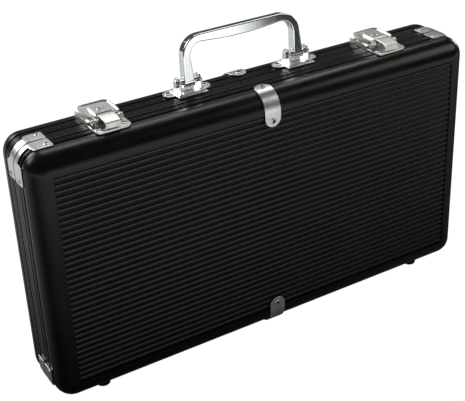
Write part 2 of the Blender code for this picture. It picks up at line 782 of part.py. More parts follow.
def hinge_leaf(name, side, end):
    """One leaf of a hinge: the base's has the outer knuckles, the lid's the middle one.

    It is drawn about the middle of the hinge, with zero on the hinge's axis.
    """
    top = KNUCKLE_RADIUS
    low_y, high_y = span(side * LEAF_NOTCH, side * LEAF_REACH)
    half = HINGE_WIDTH / 2
    leaf = block(name, (-half, low_y, top - LEAF_THICKNESS), (half, high_y, top))
    third = HINGE_WIDTH / 3
    if side == LID:
        knuckles = [(0, third - KNUCKLE_GAP)]
    else:
        length = third - KNUCKLE_GAP / 2
        offset = half - length / 2
        knuckles = [(-offset, length), (offset, length)]
    low_y, high_y = span(0, side * (LEAF_NOTCH + SINK))
    for place, length in knuckles:
        knuckle = rod("knuckle", (place, 0, 0), (1, 0, 0), KNUCKLE_RADIUS, length, HINGE_SIDES)
        web = block(
            "web", (place - length / 2, low_y, top - LEAF_THICKNESS),
            (place + length / 2, high_y, top),
        )
        join(leaf, knuckle, web)
    bore = KNUCKLE_RADIUS - KNUCKLE_WALL
    cut(leaf, rod("bore", (0, 0, 0), (1, 0, 0), bore, HINGE_WIDTH + OVERRUN, HINGE_SIDES))
    rivet_y = side * (LEAF_NOTCH + LEAF_REACH) / 2
    for direction in (-1, 1):
        spot = (direction * LEAF_RIVET_SPREAD, rivet_y, top - LEAF_THICKNESS)
        join(leaf, rivet("rivet", spot, (0, 0, -1), LEAF_RIVET_RADIUS))
    return fit(leaf, (end * HINGE_X, HINGE_Y, HINGE_Z))


def hinge_pin(name, end):
    """The pin through a hinge's knuckles."""
    radius = KNUCKLE_RADIUS - KNUCKLE_WALL - PIN_GAP
    pin = rod(name, (0, 0, 0), (1, 0, 0), radius, HINGE_WIDTH, HINGE_SIDES)
    return fit(pin, (end * HINGE_X, HINGE_Y, HINGE_Z))


def strike(name, end):
    """The plate on the lid that a latch's claw comes down on.

    Like the latch's own pieces, it is drawn about the latch's middle, with Y from the middle
    plane and Z from the top of the case.
    """
    bottom = SEAT_GAP
    top = bottom + STRIKE_THICKNESS
    half = STRIKE_HALF_WIDTH
    inset = STRIKE_CORNER
    points = [
        *arc((half - inset, -STRIKE_FRONT + inset), inset, 0, -90, ARC_STEPS // 2),
        *arc((-half + inset, -STRIKE_FRONT + inset), inset, -90, -180, ARC_STEPS // 2),
        (-half, -STRIKE_REAR),
        (half, -STRIKE_REAR),
    ]
    body = plate(name, points, STRIKE_THICKNESS, at(0, 0, (bottom + top) / 2))
    bead = block(
        "bead", (-HOOK_HALF_WIDTH, -BEAD_FROM, top - SINK),
        (HOOK_HALF_WIDTH, -BEAD_FROM + BEAD_WIDTH, top + BEAD_HEIGHT),
    )
    rivets = []
    for direction in (-1, 1):
        spot = (direction * STRIKE_RIVET_X, -STRIKE_RIVET_Y, top)
        rivets.append(rivet("rivet", spot, (0, 0, 1)))
    return fit(join(body, bead, *rivets), (end * LATCH_X, 0, TOP_Z))


def latch_base(name, end):
    """The latch's plate on the base half, with rails, ears for the lever and a catch."""
    bottom = SEAT_GAP
    top = bottom + PLATE_THICKNESS
    half = PLATE_HALF_WIDTH
    body = block(name, (-half, -PLATE_FRONT, bottom), (half, PLATE_REAR, top))
    pin = (-LEVER_PIN_Y, LEVER_PIN_Z)
    low = LEVER_PIN_Z - EAR_RADIUS
    for direction in (-1, 1):
        rail_low, rail_high = span(direction * (half - RAIL_WIDTH), direction * half)
        rail = block("rail", (rail_low, -PLATE_FRONT, bottom), (rail_high, PLATE_REAR, RAIL_HEIGHT))
        points = [
            (EAR_REAR, top - SINK), (EAR_REAR, RAIL_HEIGHT),
            *arc(pin, EAR_RADIUS, 90, 270, ARC_STEPS),
            (-PLATE_FRONT, low), (-PLATE_FRONT, top - SINK),
        ]
        ear_middle = direction * (EAR_INNER + EAR_OUTER) / 2
        ear = plate("ear", points, EAR_OUTER - EAR_INNER, at(ear_middle, 0, 0) @ SIDEWAYS)
        spot = (direction * PLATE_RIVET_X, PLATE_RIVET_Y, top)
        join(body, rail, ear, rivet("rivet", spot, (0, 0, 1)))
    roof = CAM_BOTTOM + CAM_THICKNESS + CATCH_GAP
    low_y = PLUG_Y - CATCH_WIDTH / 2
    high_y = PLUG_Y + CATCH_WIDTH / 2
    post = block(
        "post", (-CATCH_OUTER, low_y, top - SINK), (-CATCH_POST, high_y, roof + CATCH_THICKNESS)
    )
    arm = block(
        "arm", (-CATCH_OUTER, low_y, roof), (-CATCH_INNER, high_y, roof + CATCH_THICKNESS)
    )
    join(post, arm)
    join(body, post)
    cut(body, rod(
        "bore", (0, *pin), (1, 0, 0), LEVER_PIN_RADIUS + PIN_GAP, 2 * (EAR_OUTER + OVERRUN),
        EYE_SIDES,
    ))
    return fit(body, (end * LATCH_X, 0, TOP_Z))


def latch_pin(name, end):
    """The pin that a latch's lever turns on."""
    length = 2 * (EAR_OUTER + LEVER_PIN_OVERHANG)
    pin = rod(name, (0, 0, 0), (1, 0, 0), LEVER_PIN_RADIUS, length, EYE_SIDES)
    return fit(pin, (end * LATCH_X, -LEVER_PIN_Y, TOP_Z + LEVER_PIN_Z))


def latch_lever(name, end):
    """The latch's cover, with turned-down cheeks, a raised key plate and a finger lip."""
    low = COVER_BOTTOM
    top = low + COVER_THICKNESS
    cover = block(name, (-CHEEK_OUTER, -COVER_FRONT, low), (CHEEK_OUTER, COVER_REAR, top))
    pin = (-LEVER_PIN_Y, LEVER_PIN_Z)
    cheek_low = LEVER_PIN_Z - CHEEK_RADIUS
    points = [
        *arc(pin, CHEEK_RADIUS, 90, 270, ARC_STEPS),
        (CHEEK_REAR, cheek_low), (CHEEK_REAR, top - SINK), (-COVER_FRONT + SINK, top - SINK),
    ]
    outer = CHEEK_OUTER - SINK
    thickness = outer - CHEEK_INNER
    for direction in (-1, 1):
        cheek_middle = direction * (CHEEK_INNER + outer) / 2
        join(cover, plate("cheek", points, thickness, at(cheek_middle, 0, 0) @ SIDEWAYS))
    key_plate = block(
        "key_plate", (-KEY_PLATE_HALF_WIDTH, -KEY_PLATE_FRONT, top - SINK),
        (KEY_PLATE_HALF_WIDTH, KEY_PLATE_REAR, top + KEY_PLATE_RISE),
    )
    lip_points = [
        (COVER_REAR - LIP_DEPTH, top - SINK),
        (COVER_REAR - SINK, low + SINK),
        (COVER_REAR + LIP_DEPTH, top + LIP_RISE - COVER_THICKNESS),
        (COVER_REAR + LIP_DEPTH, top + LIP_RISE),
        (COVER_REAR, top + LIP_RISE),
    ]
    lip = plate("lip", lip_points, 2 * outer, SIDEWAYS)
    hook_pin = rod(
        "hook_pin", (0, -HOOK_PIN_Y, HOOK_PIN_Z), (1, 0, 0), HOOK_PIN_RADIUS,
        2 * CHEEK_INNER + thickness, EYE_SIDES,
    )
    join(cover, key_plate, lip, hook_pin)
    plug_hole = rod(
        "plug_hole", (0, PLUG_Y, low), (0, 0, 1), PLUG_RADIUS + PIN_GAP,
        2 * (COVER_THICKNESS + KEY_PLATE_RISE + OVERRUN), EYE_SIDES,
    )
    bore = rod(
        "bore", (0, *pin), (1, 0, 0), LEVER_PIN_RADIUS + PIN_GAP, 2 * (CHEEK_OUTER + OVERRUN),
        EYE_SIDES,
    )
    return fit(cut(cover, plug_hole, bore), (end * LATCH_X, 0, TOP_Z), (0, *pin))


def latch_hook(name, end):
    """The claw: an eye on the lever's cross pin, a flat arm and a turned-down tip."""
    eye = (-HOOK_PIN_Y, HOOK_PIN_Z)
    top = HOOK_TOP
    under = top - HOOK_THICKNESS
    front = -HOOK_FRONT
    points = [
        *arc((front + HOOK_BEND, top - HOOK_BEND), HOOK_BEND, 180, 90, ARC_STEPS // 2),
        *arc(eye, HOOK_EYE_RADIUS, 75, -140, EYE_SIDES // 2),
        (-HOOK_PIN_Y - HOOK_EYE_RADIUS, under),
        (front + HOOK_THICKNESS, under),
        (front + HOOK_THICKNESS, HOOK_LOW),
        (front, HOOK_LOW),
    ]
    hook = plate(name, points, 2 * HOOK_HALF_WIDTH, SIDEWAYS)
    cut(hook, rod(
        "bore", (0, *eye), (1, 0, 0), HOOK_PIN_RADIUS + PIN_GAP,
        2 * (HOOK_HALF_WIDTH + OVERRUN), EYE_SIDES,
    ))
    return fit(hook, (end * LATCH_X, 0, TOP_Z), (0, *eye))


def latch_plug(name, end):
    """The key plug, with its keyhole on top and a cam below."""
    low = CAM_BOTTOM
    top = COVER_BOTTOM + COVER_THICKNESS + KEY_PLATE_RISE + PLUG_RISE
    plug = rod(name, (0, PLUG_Y, (low + top) / 2), (0, 0, 1), PLUG_RADIUS, top - low, EYE_SIDES)
    cam = block(
        "cam", (-CAM_WIDTH / 2, PLUG_Y, low),
        (CAM_WIDTH / 2, PLUG_Y + CAM_LENGTH, low + CAM_THICKNESS),
    )
    keyhole = block(
        "keyhole", (-KEYHOLE_WIDTH / 2, PLUG_Y - KEYHOLE_LENGTH / 2, top - KEYHOLE_DEPTH),
        (KEYHOLE_WIDTH / 2, PLUG_Y + KEYHOLE_LENGTH / 2, top + OVERRUN),
    )
    join(plug, cam)
    cut(plug, keyhole)
    return fit(plug, (end * LATCH_X, 0, TOP_Z), (0, PLUG_Y, low))


def handle_bracket(name, end):
    """A stepped plate with a riveted tongue at each end and two ears for the handle.

    It is drawn about its own middle, with Y from the middle plane and Z from the top of the
    case.
    """
    bottom = SEAT_GAP
    top = bottom + BRACKET_THICKNESS
    half = BRACKET_HALF_WIDTH
    fillet = TONGUE_FILLET
    radius = (TONGUE_REAR - TONGUE_FRONT) / 2
    tongue_y = (TONGUE_FRONT + TONGUE_REAR) / 2
    tongue_x = TONGUE_HALF_SPAN - radius
    points = [
        (half, -BRACKET_FRONT),
        *arc((half + fillet, TONGUE_FRONT - fillet), fillet, 180, 90, 2),
        *arc((tongue_x, tongue_y), radius, -90, 90, ARC_STEPS),
        *arc((half + fillet, TONGUE_REAR + fillet), fillet, -90, -180, 2),
        (half, BRACKET_REAR),
    ]
    points += [(-x, y) for x, y in reversed(points)]
    body = plate(name, points, BRACKET_THICKNESS, at(0, 0, (bottom + top) / 2))
    inset = BRACKET_STEP_INSET
    step = block(
        "step", (-half + inset, -BRACKET_FRONT + inset, top - SINK),
        (half - inset, BRACKET_REAR - inset, top + BRACKET_STEP),
    )
    join(body, step)
    pin = (HANDLE_PIN_Y, HANDLE_PIN_Z)
    ear_foot = top + BRACKET_STEP - SINK
    ear_points = [
        (HANDLE_PIN_Y - HANDLE_EAR_FOOT, ear_foot),
        (HANDLE_PIN_Y + HANDLE_EAR_FOOT, ear_foot),
        *arc(pin, HANDLE_EAR_RADIUS, 0, 180, 2 * ARC_STEPS),
    ]
    thickness = HANDLE_EAR_OUTER - HANDLE_EAR_INNER
    for direction in (-1, 1):
        ear_middle = direction * (HANDLE_EAR_INNER + HANDLE_EAR_OUTER) / 2
        ear = plate("ear", ear_points, thickness, at(ear_middle, 0, 0) @ SIDEWAYS)
        spot = (direction * TONGUE_RIVET_X, tongue_y, top)
        join(body, ear, rivet("rivet", spot, (0, 0, 1)))
    cut(body, rod(
        "bore", (0, *pin), (1, 0, 0), HANDLE_PIN_RADIUS + PIN_GAP,
        2 * (HANDLE_EAR_OUTER + OVERRUN), EYE_SIDES,
    ))
    return fit(body, (end * HANDLE_HALF_SPAN, 0, TOP_Z))


def handle_pin(name, end):
    """The headed pin through a bracket's ears, a turned shape."""
    reach = HANDLE_EAR_OUTER + SEAT_GAP
    profile = [
        (0, reach + HANDLE_PIN_HEAD),
        (HANDLE_PIN_HEAD_RADIUS - HANDLE_PIN_HEAD / 2, reach + HANDLE_PIN_HEAD),
        (HANDLE_PIN_HEAD_RADIUS, reach + HANDLE_PIN_HEAD / 2),
        (HANDLE_PIN_HEAD_RADIUS, reach),
        (HANDLE_PIN_RADIUS, reach),
    ]
    profile += [(radius, -along) for radius, along in reversed(profile)]
    bm = bmesh.new()
    verts = [bm.verts.new((radius, 0, along)) for radius, along in profile]
    for first, second in zip(verts, verts[1:]):
        bm.edges.new((first, second))
    pin = object_from(name, bm)
    screw = pin.modifiers.new("turn", "SCREW")
    screw.axis = "Z"
    screw.steps = EYE_SIDES
    screw.render_steps = EYE_SIDES
    screw.use_merge_vertices = True
    screw.merge_threshold = WELD_DISTANCE
    screw.use_normal_calculate = True
    apply_modifiers(pin)
    pin.data.transform(Matrix.Rotation(math.pi / 2, 4, "Y"))
    return fit(pin, (end * HANDLE_HALF_SPAN, HANDLE_PIN_Y, TOP_Z + HANDLE_PIN_Z))


def handle_outline():
    """The handle in its own plane: X along the case and Y up from the pins."""
    outer_x = HANDLE_HALF_SPAN + LEG_TOP_HALF_WIDTH
    inner_x = HANDLE_HALF_SPAN - LEG_TOP_HALF_WIDTH
    foot_outer = HANDLE_HALF_SPAN + LEG_FOOT_HALF_WIDTH
    foot_inner = HANDLE_HALF_SPAN - LEG_FOOT_HALF_WIDTH
    bend_y = HANDLE_HEIGHT - BEND_OUTER_RADIUS
    belly_edge = inner_x - BEND_INNER_RADIUS
    under = HANDLE_HEIGHT - GRIP_END_THICKNESS
    bend_centre = (belly_edge, under - BEND_INNER_RADIUS)
    right = [(foot_outer, 0)]
    right += arc((outer_x - BEND_OUTER_RADIUS, bend_y), BEND_OUTER_RADIUS, 0, 90, ARC_STEPS)
    left = [(-x, y) for x, y in reversed(right)]
    inner_left = [(-foot_inner, 0)]
    inner_left += [(-x, y) for x, y in arc(bend_centre, BEND_INNER_RADIUS, 0, 90, ARC_STEPS)]
    belly = GRIP_MIDDLE_THICKNESS - GRIP_END_THICKNESS
    underside = []
    for step in range(1, BELLY_STEPS):
        share = 2 * step / BELLY_STEPS - 1
        underside.append((share * belly_edge, under - belly * math.cos(share * math.pi / 2)))
    inner_right = [(-x, y) for x, y in reversed(inner_left)]
    return right + left + inner_left + underside + inner_right


def carry_handle(name):
    """The carry handle, with an eye at the foot of each leg, leaning back on its pins."""
    handle = plate(name, handle_outline(), HANDLE_DEPTH, UPRIGHT)
    bevel = handle.modifiers.new("rounding", "BEVEL")
    bevel.width = HANDLE_BEVEL
    bevel.segments = 2
    bevel.limit_method = "ANGLE"
    bevel.angle_limit = math.radians(50)
    apply_modifiers(handle)
    for end in (-1, 1):
        centre = (end * HANDLE_HALF_SPAN, 0, 0)
        width = 2 * LEG_FOOT_HALF_WIDTH
        join(handle, rod("eye", centre, (1, 0, 0), EYE_RADIUS, width, EYE_SIDES))
        cut(handle, rod(
            "bore", centre, (1, 0, 0), HANDLE_PIN_RADIUS + PIN_GAP, 2 * width, EYE_SIDES
        ))
    handle.location = (0, HANDLE_PIN_Y, TOP_Z + HANDLE_PIN_Z)
    handle.rotation_euler.x = math.radians(-HANDLE_LEAN)
    return handle


def build_half(half, side, black, nickel, rubber):
    """Frame, band, panel, straps, corners and feet of one half of the case."""
    for end_name, end in (("left", -1), ("right", 1)):
        dress(edge_frame(f"{half}_frame_{end_name}", side, end), black, smooth=True)
        dress(bent_band(f"{half}_band_{end_name}", side, end), black, smooth=True)
        dress(foot(f"{half}_foot_{end_name}", side, end), rubber, smooth=True)
    for up_name, up in (("top", 1), ("bottom", -1)):
        dress(straight_band(f"{half}_band_{up_name}", side, up), black)
        dress(edge_strap(f"{half}_strap_{up_name}", side, up), nickel, smooth=True)
        for end_name, end in (("left", -1), ("right", 1)):
            name = f"{half}_corner_{up_name}_{end_name}"
            dress(corner_bracket(name, side, up, end), nickel, smooth=True)
    dress(ribbed_panel(f"{half}_panel", side), black)


def build_latch(end_name, end, nickel, chrome):
    """One latch and its strike; the moving pieces have their origins on their axes."""
    dress(strike(f"strike_{end_name}", end), nickel)
    dress(latch_base(f"latch_base_{end_name}", end), nickel)
    dress(latch_pin(f"latch_pin_{end_name}", end), chrome, smooth=True)
    dress(latch_lever(f"latch_lever_{end_name}", end), nickel)
    dress(latch_hook(f"latch_hook_{end_name}", end), nickel, smooth=True)
    dress(latch_plug(f"latch_plug_{end_name}", end), chrome)


def carry_lid_on_hinges():
    """Parent the lid's pieces to an empty on the hinge axis."""
    axis = bpy.data.objects.new("lid_axis", None)
    CASE.objects.link(axis)
    axis.location = (0, HINGE_Y, HINGE_Z)
    bpy.context.view_layer.update()
    for obj in list(CASE.objects):
        if obj.name.startswith(("lid_", "strike_", "hinge_leaf_lid_")) and obj is not axis:
            obj.parent = axis
            obj.matrix_parent_inverse = axis.matrix_world.inverted()


def main():
    """Build the case."""
    black = finish_material("satin_black", BLACK)
    nickel = finish_material("nickel", NICKEL)
    chrome = finish_material("chrome", CHROME)
    rubber = finish_material("rubber", RUBBER)
    flock = finish_material("flock", FLOCK)
    for half, side in HALVES.items():
        build_half(half, side, black, nickel, rubber)
    dress(lid_lining("lid_lining"), flock)
    dress(middle_tray("tray_middle"), flock)
    for end_name, end in (("left", -1), ("right", 1)):
        dress(chip_tray(f"tray_{end_name}", end), flock)
        dress(hinge_leaf(f"hinge_leaf_base_{end_name}", BASE, end), nickel)
        dress(hinge_leaf(f"hinge_leaf_lid_{end_name}", LID, end), nickel)
        dress(hinge_pin(f"hinge_pin_{end_name}", end), nickel, smooth=True)
        build_latch(end_name, end, nickel, chrome)
        dress(handle_bracket(f"handle_bracket_{end_name}", end), nickel)
        dress(handle_pin(f"handle_pin_{end_name}", end), nickel, smooth=True)
    dress(carry_handle("handle"), chrome, smooth=True)
    carry_lid_on_hinges()
    bpy.context.view_layer.update()


main()
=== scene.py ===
"""The looks of a poker chip case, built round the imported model.

X runs along the case, Y from the lid in front to the base behind, Z up. Lengths are in metres.
"""

from __future__ import annotations

import logging
import math
from collections.abc import Iterable, Sequence
from dataclasses import dataclass
from enum import Enum

import bmesh
import bpy
from mathutils import Matrix, Vector


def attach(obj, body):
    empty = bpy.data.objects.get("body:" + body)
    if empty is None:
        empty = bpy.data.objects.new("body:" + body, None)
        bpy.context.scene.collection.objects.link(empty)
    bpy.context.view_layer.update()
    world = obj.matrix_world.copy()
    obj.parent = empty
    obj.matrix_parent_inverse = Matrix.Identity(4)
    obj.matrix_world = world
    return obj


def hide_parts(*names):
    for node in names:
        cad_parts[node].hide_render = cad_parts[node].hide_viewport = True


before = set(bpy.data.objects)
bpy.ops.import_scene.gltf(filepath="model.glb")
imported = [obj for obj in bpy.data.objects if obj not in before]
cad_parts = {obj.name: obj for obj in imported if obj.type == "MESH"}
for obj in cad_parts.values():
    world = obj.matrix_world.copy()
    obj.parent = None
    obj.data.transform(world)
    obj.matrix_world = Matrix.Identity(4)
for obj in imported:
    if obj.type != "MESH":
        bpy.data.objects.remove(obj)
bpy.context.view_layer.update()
LOG = logging.getLogger("chip_case")

Point2 = tuple[float, float]
Point3 = tuple[float, float, float]
Points = Sequence[Point2]
Solid = bpy.types.Object
Finish = bpy.types.Material
Socket = bpy.types.NodeSocket
Value = Socket | float | Sequence[float]


class Named(Enum):
    """A choice whose name is the word that nodes and bodies carry."""

    @property
    def word(self) -> str:
        """The choice's name in small letters."""
        return self.name.lower()


class Half(Named):
    """The two halves of the case, with the side of the middle plane that each lies on."""

    LID = -1
    BASE = 1


class End(Named):
    """The two ends of the case."""

    LEFT = -1
    RIGHT = 1


class Level(Named):
    """The two long edges of the case."""

    TOP = 1
    BOTTOM = -1


# Finishes


class NodeBoard:
    """A material's node tree, with short ways to add and link nodes."""

    def __init__(self, name: str) -> None:
        """Start a material with a Principled shader.

        Args:
            name: The material's name.
        """
        self.material = bpy.data.materials.new(name)
        self.material.use_nodes = True
        self.tree = self.material.node_tree
        self.surface = self.tree.nodes["Principled BSDF"]
        self.place = self.node("TexCoord").outputs["Object"]

    def feed(self, target: Socket, value: Value) -> None:
        """Link an output to an input, or set the input where the value is a constant.

        Args:
            target: The input.
            value: The output or the constant.
        """
        if isinstance(value, Socket):
            self.tree.links.new(value, target)
        else:
            target.default_value = value

    def fill(self, node: bpy.types.Node, **values: Value) -> None:
        """Link or set a node's inputs.

        Args:
            node: The node.
            values: What goes into each input, by its name with underscores for spaces.
        """
        for name, value in values.items():
            self.feed(node.inputs[name.replace("_", " ")], value)

    def node(self, kind: str, **values: Value) -> bpy.types.Node:
        """Add a node and fill its inputs.

        Args:
            kind: The node's type, without the words that every shader node's type starts with.
            values: What goes into its inputs.

        Returns:
            The node.
        """
        node = self.tree.nodes.new("ShaderNode" + kind)
        self.fill(node, **values)
        return node

    def reckon(self, kind: str, operation: str, first: Value, second: Value) -> Socket:
        """Put two values together.

        Args:
            kind: The node's type, Math or VectorMath.
            operation: What it works out.
            first: The first value.
            second: The second value.

        Returns:
            The result.
        """
        node = self.node(kind)
        node.operation = operation
        self.feed(node.inputs[0], first)
        self.feed(node.inputs[1], second)
        return node.outputs["Value"]

    def noise(self, grain: float, detail: float = 2.0, stretch: Point3 = (1, 1, 1)) -> Socket:
        """Noise in object space.

        Args:
            grain: The size of a spot.
            detail: How many finer layers are added.
            stretch: Scales along the axes, for streaks.

        Returns:
            The noise's value.
        """
        place = self.node("Mapping", Scale=stretch, Vector=self.place).outputs["Vector"]
        return self.node("TexNoise", Scale=1 / grain, Detail=detail, Vector=place).outputs["Fac"]

    def span(self, value: Socket, source: Point2, target: Point2 = (0, 1)) -> Socket:
        """A value carried from one range to another and held inside it.

        Args:
            value: The value.
            source: The range that it comes from.
            target: The range that it goes to.

        Returns:
            The new value.
        """
        return self.node(
            "MapRange", Value=value, From_Min=source[0], From_Max=source[1],
            To_Min=target[0], To_Max=target[1],
        ).outputs["Result"]

    def ramp(self, way: Point3, source: Point2, target: Point2) -> Socket:
        """A fade along one direction of object space.

        Args:
            way: The direction.
            source: The distances along it where the fade starts and ends.
            target: The values there.

        Returns:
            The value at each place.
        """
        return self.span(self.reckon("VectorMath", "DOT_PRODUCT", self.place, way), source, target)

    def blend(self, factor: Socket, first: Point3, second: Point3) -> Socket:
        """A colour between two others.

        Args:
            factor: 0 for the first colour and 1 for the second.
            first: The first colour.
            second: The second colour.

        Returns:
            The mixed colour.
        """
        node = self.node("Mix")
        node.data_type = "RGBA"
        self.fill(node, A=(*first, 1), B=(*second, 1), Factor=factor)
        return next(socket for socket in node.outputs if socket.type == "RGBA")

    def bumps(self, *layers: tuple[Socket, float]) -> Socket:
        """Small heights, laid over each other.

        Args:
            layers: Values and how high each one stands.

        Returns:
            The surface's normal.
        """
        normal = None
        for value, height in layers:
            node = self.node("Bump", Distance=height, Height=value)
            if normal is not None:
                self.fill(node, Normal=normal)
            normal = node.outputs["Normal"]
        return normal


@dataclass(frozen=True)
class BlackCoat:
    """Black anodised aluminium: fine matt grain under a soft gloss, with faint handling marks."""

    name: str
    tint: Point3
    colour: Point3 = (0.0012, 0.0012, 0.0014)
    worn: Point3 = (0.0026, 0.0026, 0.0028)
    roughness: Point2 = (0.24, 0.33)
    gloss: float = 0.35
    patch: float = 0.045
    patch_detail: float = 4.0
    worn_range: Point2 = (0.35, 0.75)
    rough_range: Point2 = (0.3, 0.7)
    grain: float = 0.00035
    grain_height: float = 0.000006
    streak: float = 0.0012
    streak_detail: float = 3.0
    streak_stretch: Point3 = (0.06, 1, 1)
    streak_height: float = 0.000003

    def build(self) -> Finish:
        """Make the finish.

        Returns:
            Its material.
        """
        board = NodeBoard(self.name)
        patch = board.noise(self.patch, self.patch_detail)
        streak = board.noise(self.streak, self.streak_detail, self.streak_stretch)
        board.fill(
            board.surface, Specular_IOR_Level=self.gloss, Specular_Tint=(*self.tint, 1),
            Base_Color=board.blend(board.span(patch, self.worn_range), self.colour, self.worn),
            Roughness=board.span(patch, self.rough_range, self.roughness),
            Normal=board.bumps(
                (board.noise(self.grain), self.grain_height), (streak, self.streak_height)
            ),
        )
        return board.material


@dataclass(frozen=True)
class BrightPlate:
    """Plated metal: a bright surface with soft waves, fine scratches and slightly dull patches."""

    name: str
    colour: Point3 = (0.80, 0.79, 0.77)
    dull: Point3 = (0.66, 0.65, 0.63)
    roughness: Point2 = (0.29, 0.36)
    patch: float = 0.006
    patch_detail: float = 3.0
    dull_range: Point2 = (0.4, 0.75)
    rough_range: Point2 = (0.35, 0.7)
    wave: float = 0.004
    wave_detail: float = 1.0
    wave_height: float = 0.000012
    scratch: float = 0.00022
    scratch_detail: float = 2.0
    scratch_stretch: Point3 = (0.12, 1, 1)
    scratch_height: float = 0.000003

    def build(self) -> Finish:
        """Make the finish.

        Returns:
            Its material.
        """
        board = NodeBoard(self.name)
        patch = board.noise(self.patch, self.patch_detail)
        wave = board.noise(self.wave, self.wave_detail)
        scratch = board.noise(self.scratch, self.scratch_detail, self.scratch_stretch)
        board.fill(
            board.surface, Metallic=1.0,
            Base_Color=board.blend(board.span(patch, self.dull_range), self.colour, self.dull),
            Roughness=board.span(patch, self.rough_range, self.roughness),
            Normal=board.bumps((wave, self.wave_height), (scratch, self.scratch_height)),
        )
        return board.material


@dataclass(frozen=True)
class Rubber:
    """Matt black rubber with a fine moulded grain."""

    name: str
    colour: Point3 = (0.011, 0.011, 0.011)
    dusty: Point3 = (0.022, 0.021, 0.020)
    gloss: float = 0.3
    roughness: Point2 = (0.62, 0.85)
    rough_range: Point2 = (0.3, 0.7)
    grain: float = 0.0003
    grain_detail: float = 3.0
    grain_height: float = 0.00004

    def build(self) -> Finish:
        """Make the finish.

        Returns:
            Its material.
        """
        board = NodeBoard(self.name)
        grain = board.noise(self.grain, self.grain_detail)
        board.fill(
            board.surface, Specular_IOR_Level=self.gloss,
            Base_Color=board.blend(grain, self.colour, self.dusty),
            Roughness=board.span(grain, self.rough_range, self.roughness),
            Normal=board.bumps((grain, self.grain_height)),
        )
        return board.material


@dataclass(frozen=True)
class Flock:
    """Black flocking: a short even nap that catches a little light at its edges."""

    name: str
    colour: Point3 = (0.012, 0.012, 0.014)
    brushed: Point3 = (0.026, 0.026, 0.030)
    gloss: float = 0.15
    roughness: float = 0.95
    sheen: float = 0.35
    sheen_roughness: float = 0.45
    nap: float = 0.0005
    nap_height: float = 0.00015
    stroke: float = 0.012
    detail: float = 3.0
    brushed_range: Point2 = (0.3, 0.7)

    def build(self) -> Finish:
        """Make the finish.

        Returns:
            Its material.
        """
        board = NodeBoard(self.name)
        nap = board.noise(self.nap, self.detail)
        stroke = board.noise(self.stroke, self.detail)
        brushed = board.span(stroke, self.brushed_range)
        board.fill(
            board.surface, Roughness=self.roughness, Specular_IOR_Level=self.gloss,
            Sheen_Weight=self.sheen, Sheen_Roughness=self.sheen_roughness,
            Base_Color=board.blend(brushed, self.colour, self.brushed),
            Normal=board.bumps((stroke, self.nap_height), (nap, self.nap_height)),
        )
        return board.material


# Mesh tools


MERGE = 0.000002
SHARP_ANGLE = math.radians(32)
# How many times as long as its piece a cutter is that has to pass through it.
THROUGH = 3
FLAT = Matrix.Identity(4)
# Draws an outline's X as Y and its Y as Z, with the thickness along X.
SIDEWAYS = Matrix(((0, 0, 1, 0), (1, 0, 0, 0), (0, 1, 0, 0), (0, 0, 0, 1)))
# Draws an outline's Y as Z, with the thickness along Y.
UPRIGHT = Matrix(((1, 0, 0, 0), (0, 0, -1, 0), (0, 1, 0, 0), (0, 0, 0, 1)))
# Lays what stands along Z down along X.
LYING = Matrix.Rotation(math.pi / 2, 4, "Y")


def at(x: float, y: float, z: float) -> Matrix:
    """A translation."""
    return Matrix.Translation((x, y, z))


def solid(bm: bmesh.types.BMesh) -> Solid:
    """Link a new object that holds the bmesh, with its faces turned outwards.

    Args:
        bm: A closed body. It is freed.

    Returns:
        The object.
    """
    bmesh.ops.recalc_face_normals(bm, faces=bm.faces)
    if bm.calc_volume(signed=True) < 0:
        bmesh.ops.reverse_faces(bm, faces=bm.faces)
    mesh = bpy.data.meshes.new("solid")
    bm.to_mesh(mesh)
    bm.free()
    return linked("solid", mesh)


def linked(name: str, data: bpy.types.ID) -> Solid:
    """Link a new object that holds a mesh, a lamp or a camera.

    Args:
        name: The object's name.
        data: What it holds.

    Returns:
        The object.
    """
    obj = bpy.data.objects.new(name, data)
    bpy.context.scene.collection.objects.link(obj)
    return obj


def block(first: Sequence[float], second: Sequence[float]) -> Solid:
    """A box.

    Args:
        first: One of its corners.
        second: The opposite corner.

    Returns:
        The solid.
    """
    low, high = map(Vector, zip(*map(sorted, zip(first, second))))
    bm = bmesh.new()
    place = Matrix.Translation((low + high) / 2) @ Matrix.Diagonal((*(high - low), 1))
    bmesh.ops.create_cube(bm, size=1, matrix=place)
    return solid(bm)


def arc(centre: Point2, radius: float, start: float, end: float, steps: int) -> list[Point2]:
    """Points along an arc.

    Args:
        centre: The arc's centre.
        radius: Its radius.
        start: The angle of its first point, in degrees.
        end: The angle of its last point, in degrees.
        steps: How many straight pieces stand for it.

    Returns:
        The points, both ends included.
    """
    points = []
    for step in range(steps + 1):
        angle = math.radians(start + (end - start) * step / steps)
        points.append((centre[0] + radius * math.cos(angle), centre[1] + radius * math.sin(angle)))
    return points


def mirrored(points: Points) -> list[Point2]:
    """Close half an outline with its mirror image across its Y axis."""
    return [*points, *((-x, y) for x, y in reversed(points))]


def plate(points: Points, thickness: float, place: Matrix = FLAT) -> Solid:
    """An outline given a thickness.

    Args:
        points: The outline, drawn in X and Y.
        thickness: How thick it is, half on each side of the drawing.
        place: Where the drawing goes.

    Returns:
        The solid.
    """
    bm = bmesh.new()
    drawn = [bm.verts.new(place @ Vector((x, y, -thickness / 2))) for x, y in points]
    made = bmesh.ops.extrude_face_region(bm, geom=[bm.faces.new(drawn)], use_keep_orig=True)
    raised = [item for item in made["geom"] if isinstance(item, bmesh.types.BMVert)]
    rise = place.to_3x3() @ Vector((0, 0, thickness))
    bmesh.ops.translate(bm, verts=raised, vec=rise)
    return solid(bm)


def sheet(points: Points, low: float, high: float) -> Solid:
    """An outline, drawn in X and Y, that is solid from one height to another."""
    return plate(points, high - low, at(0, 0, (low + high) / 2))


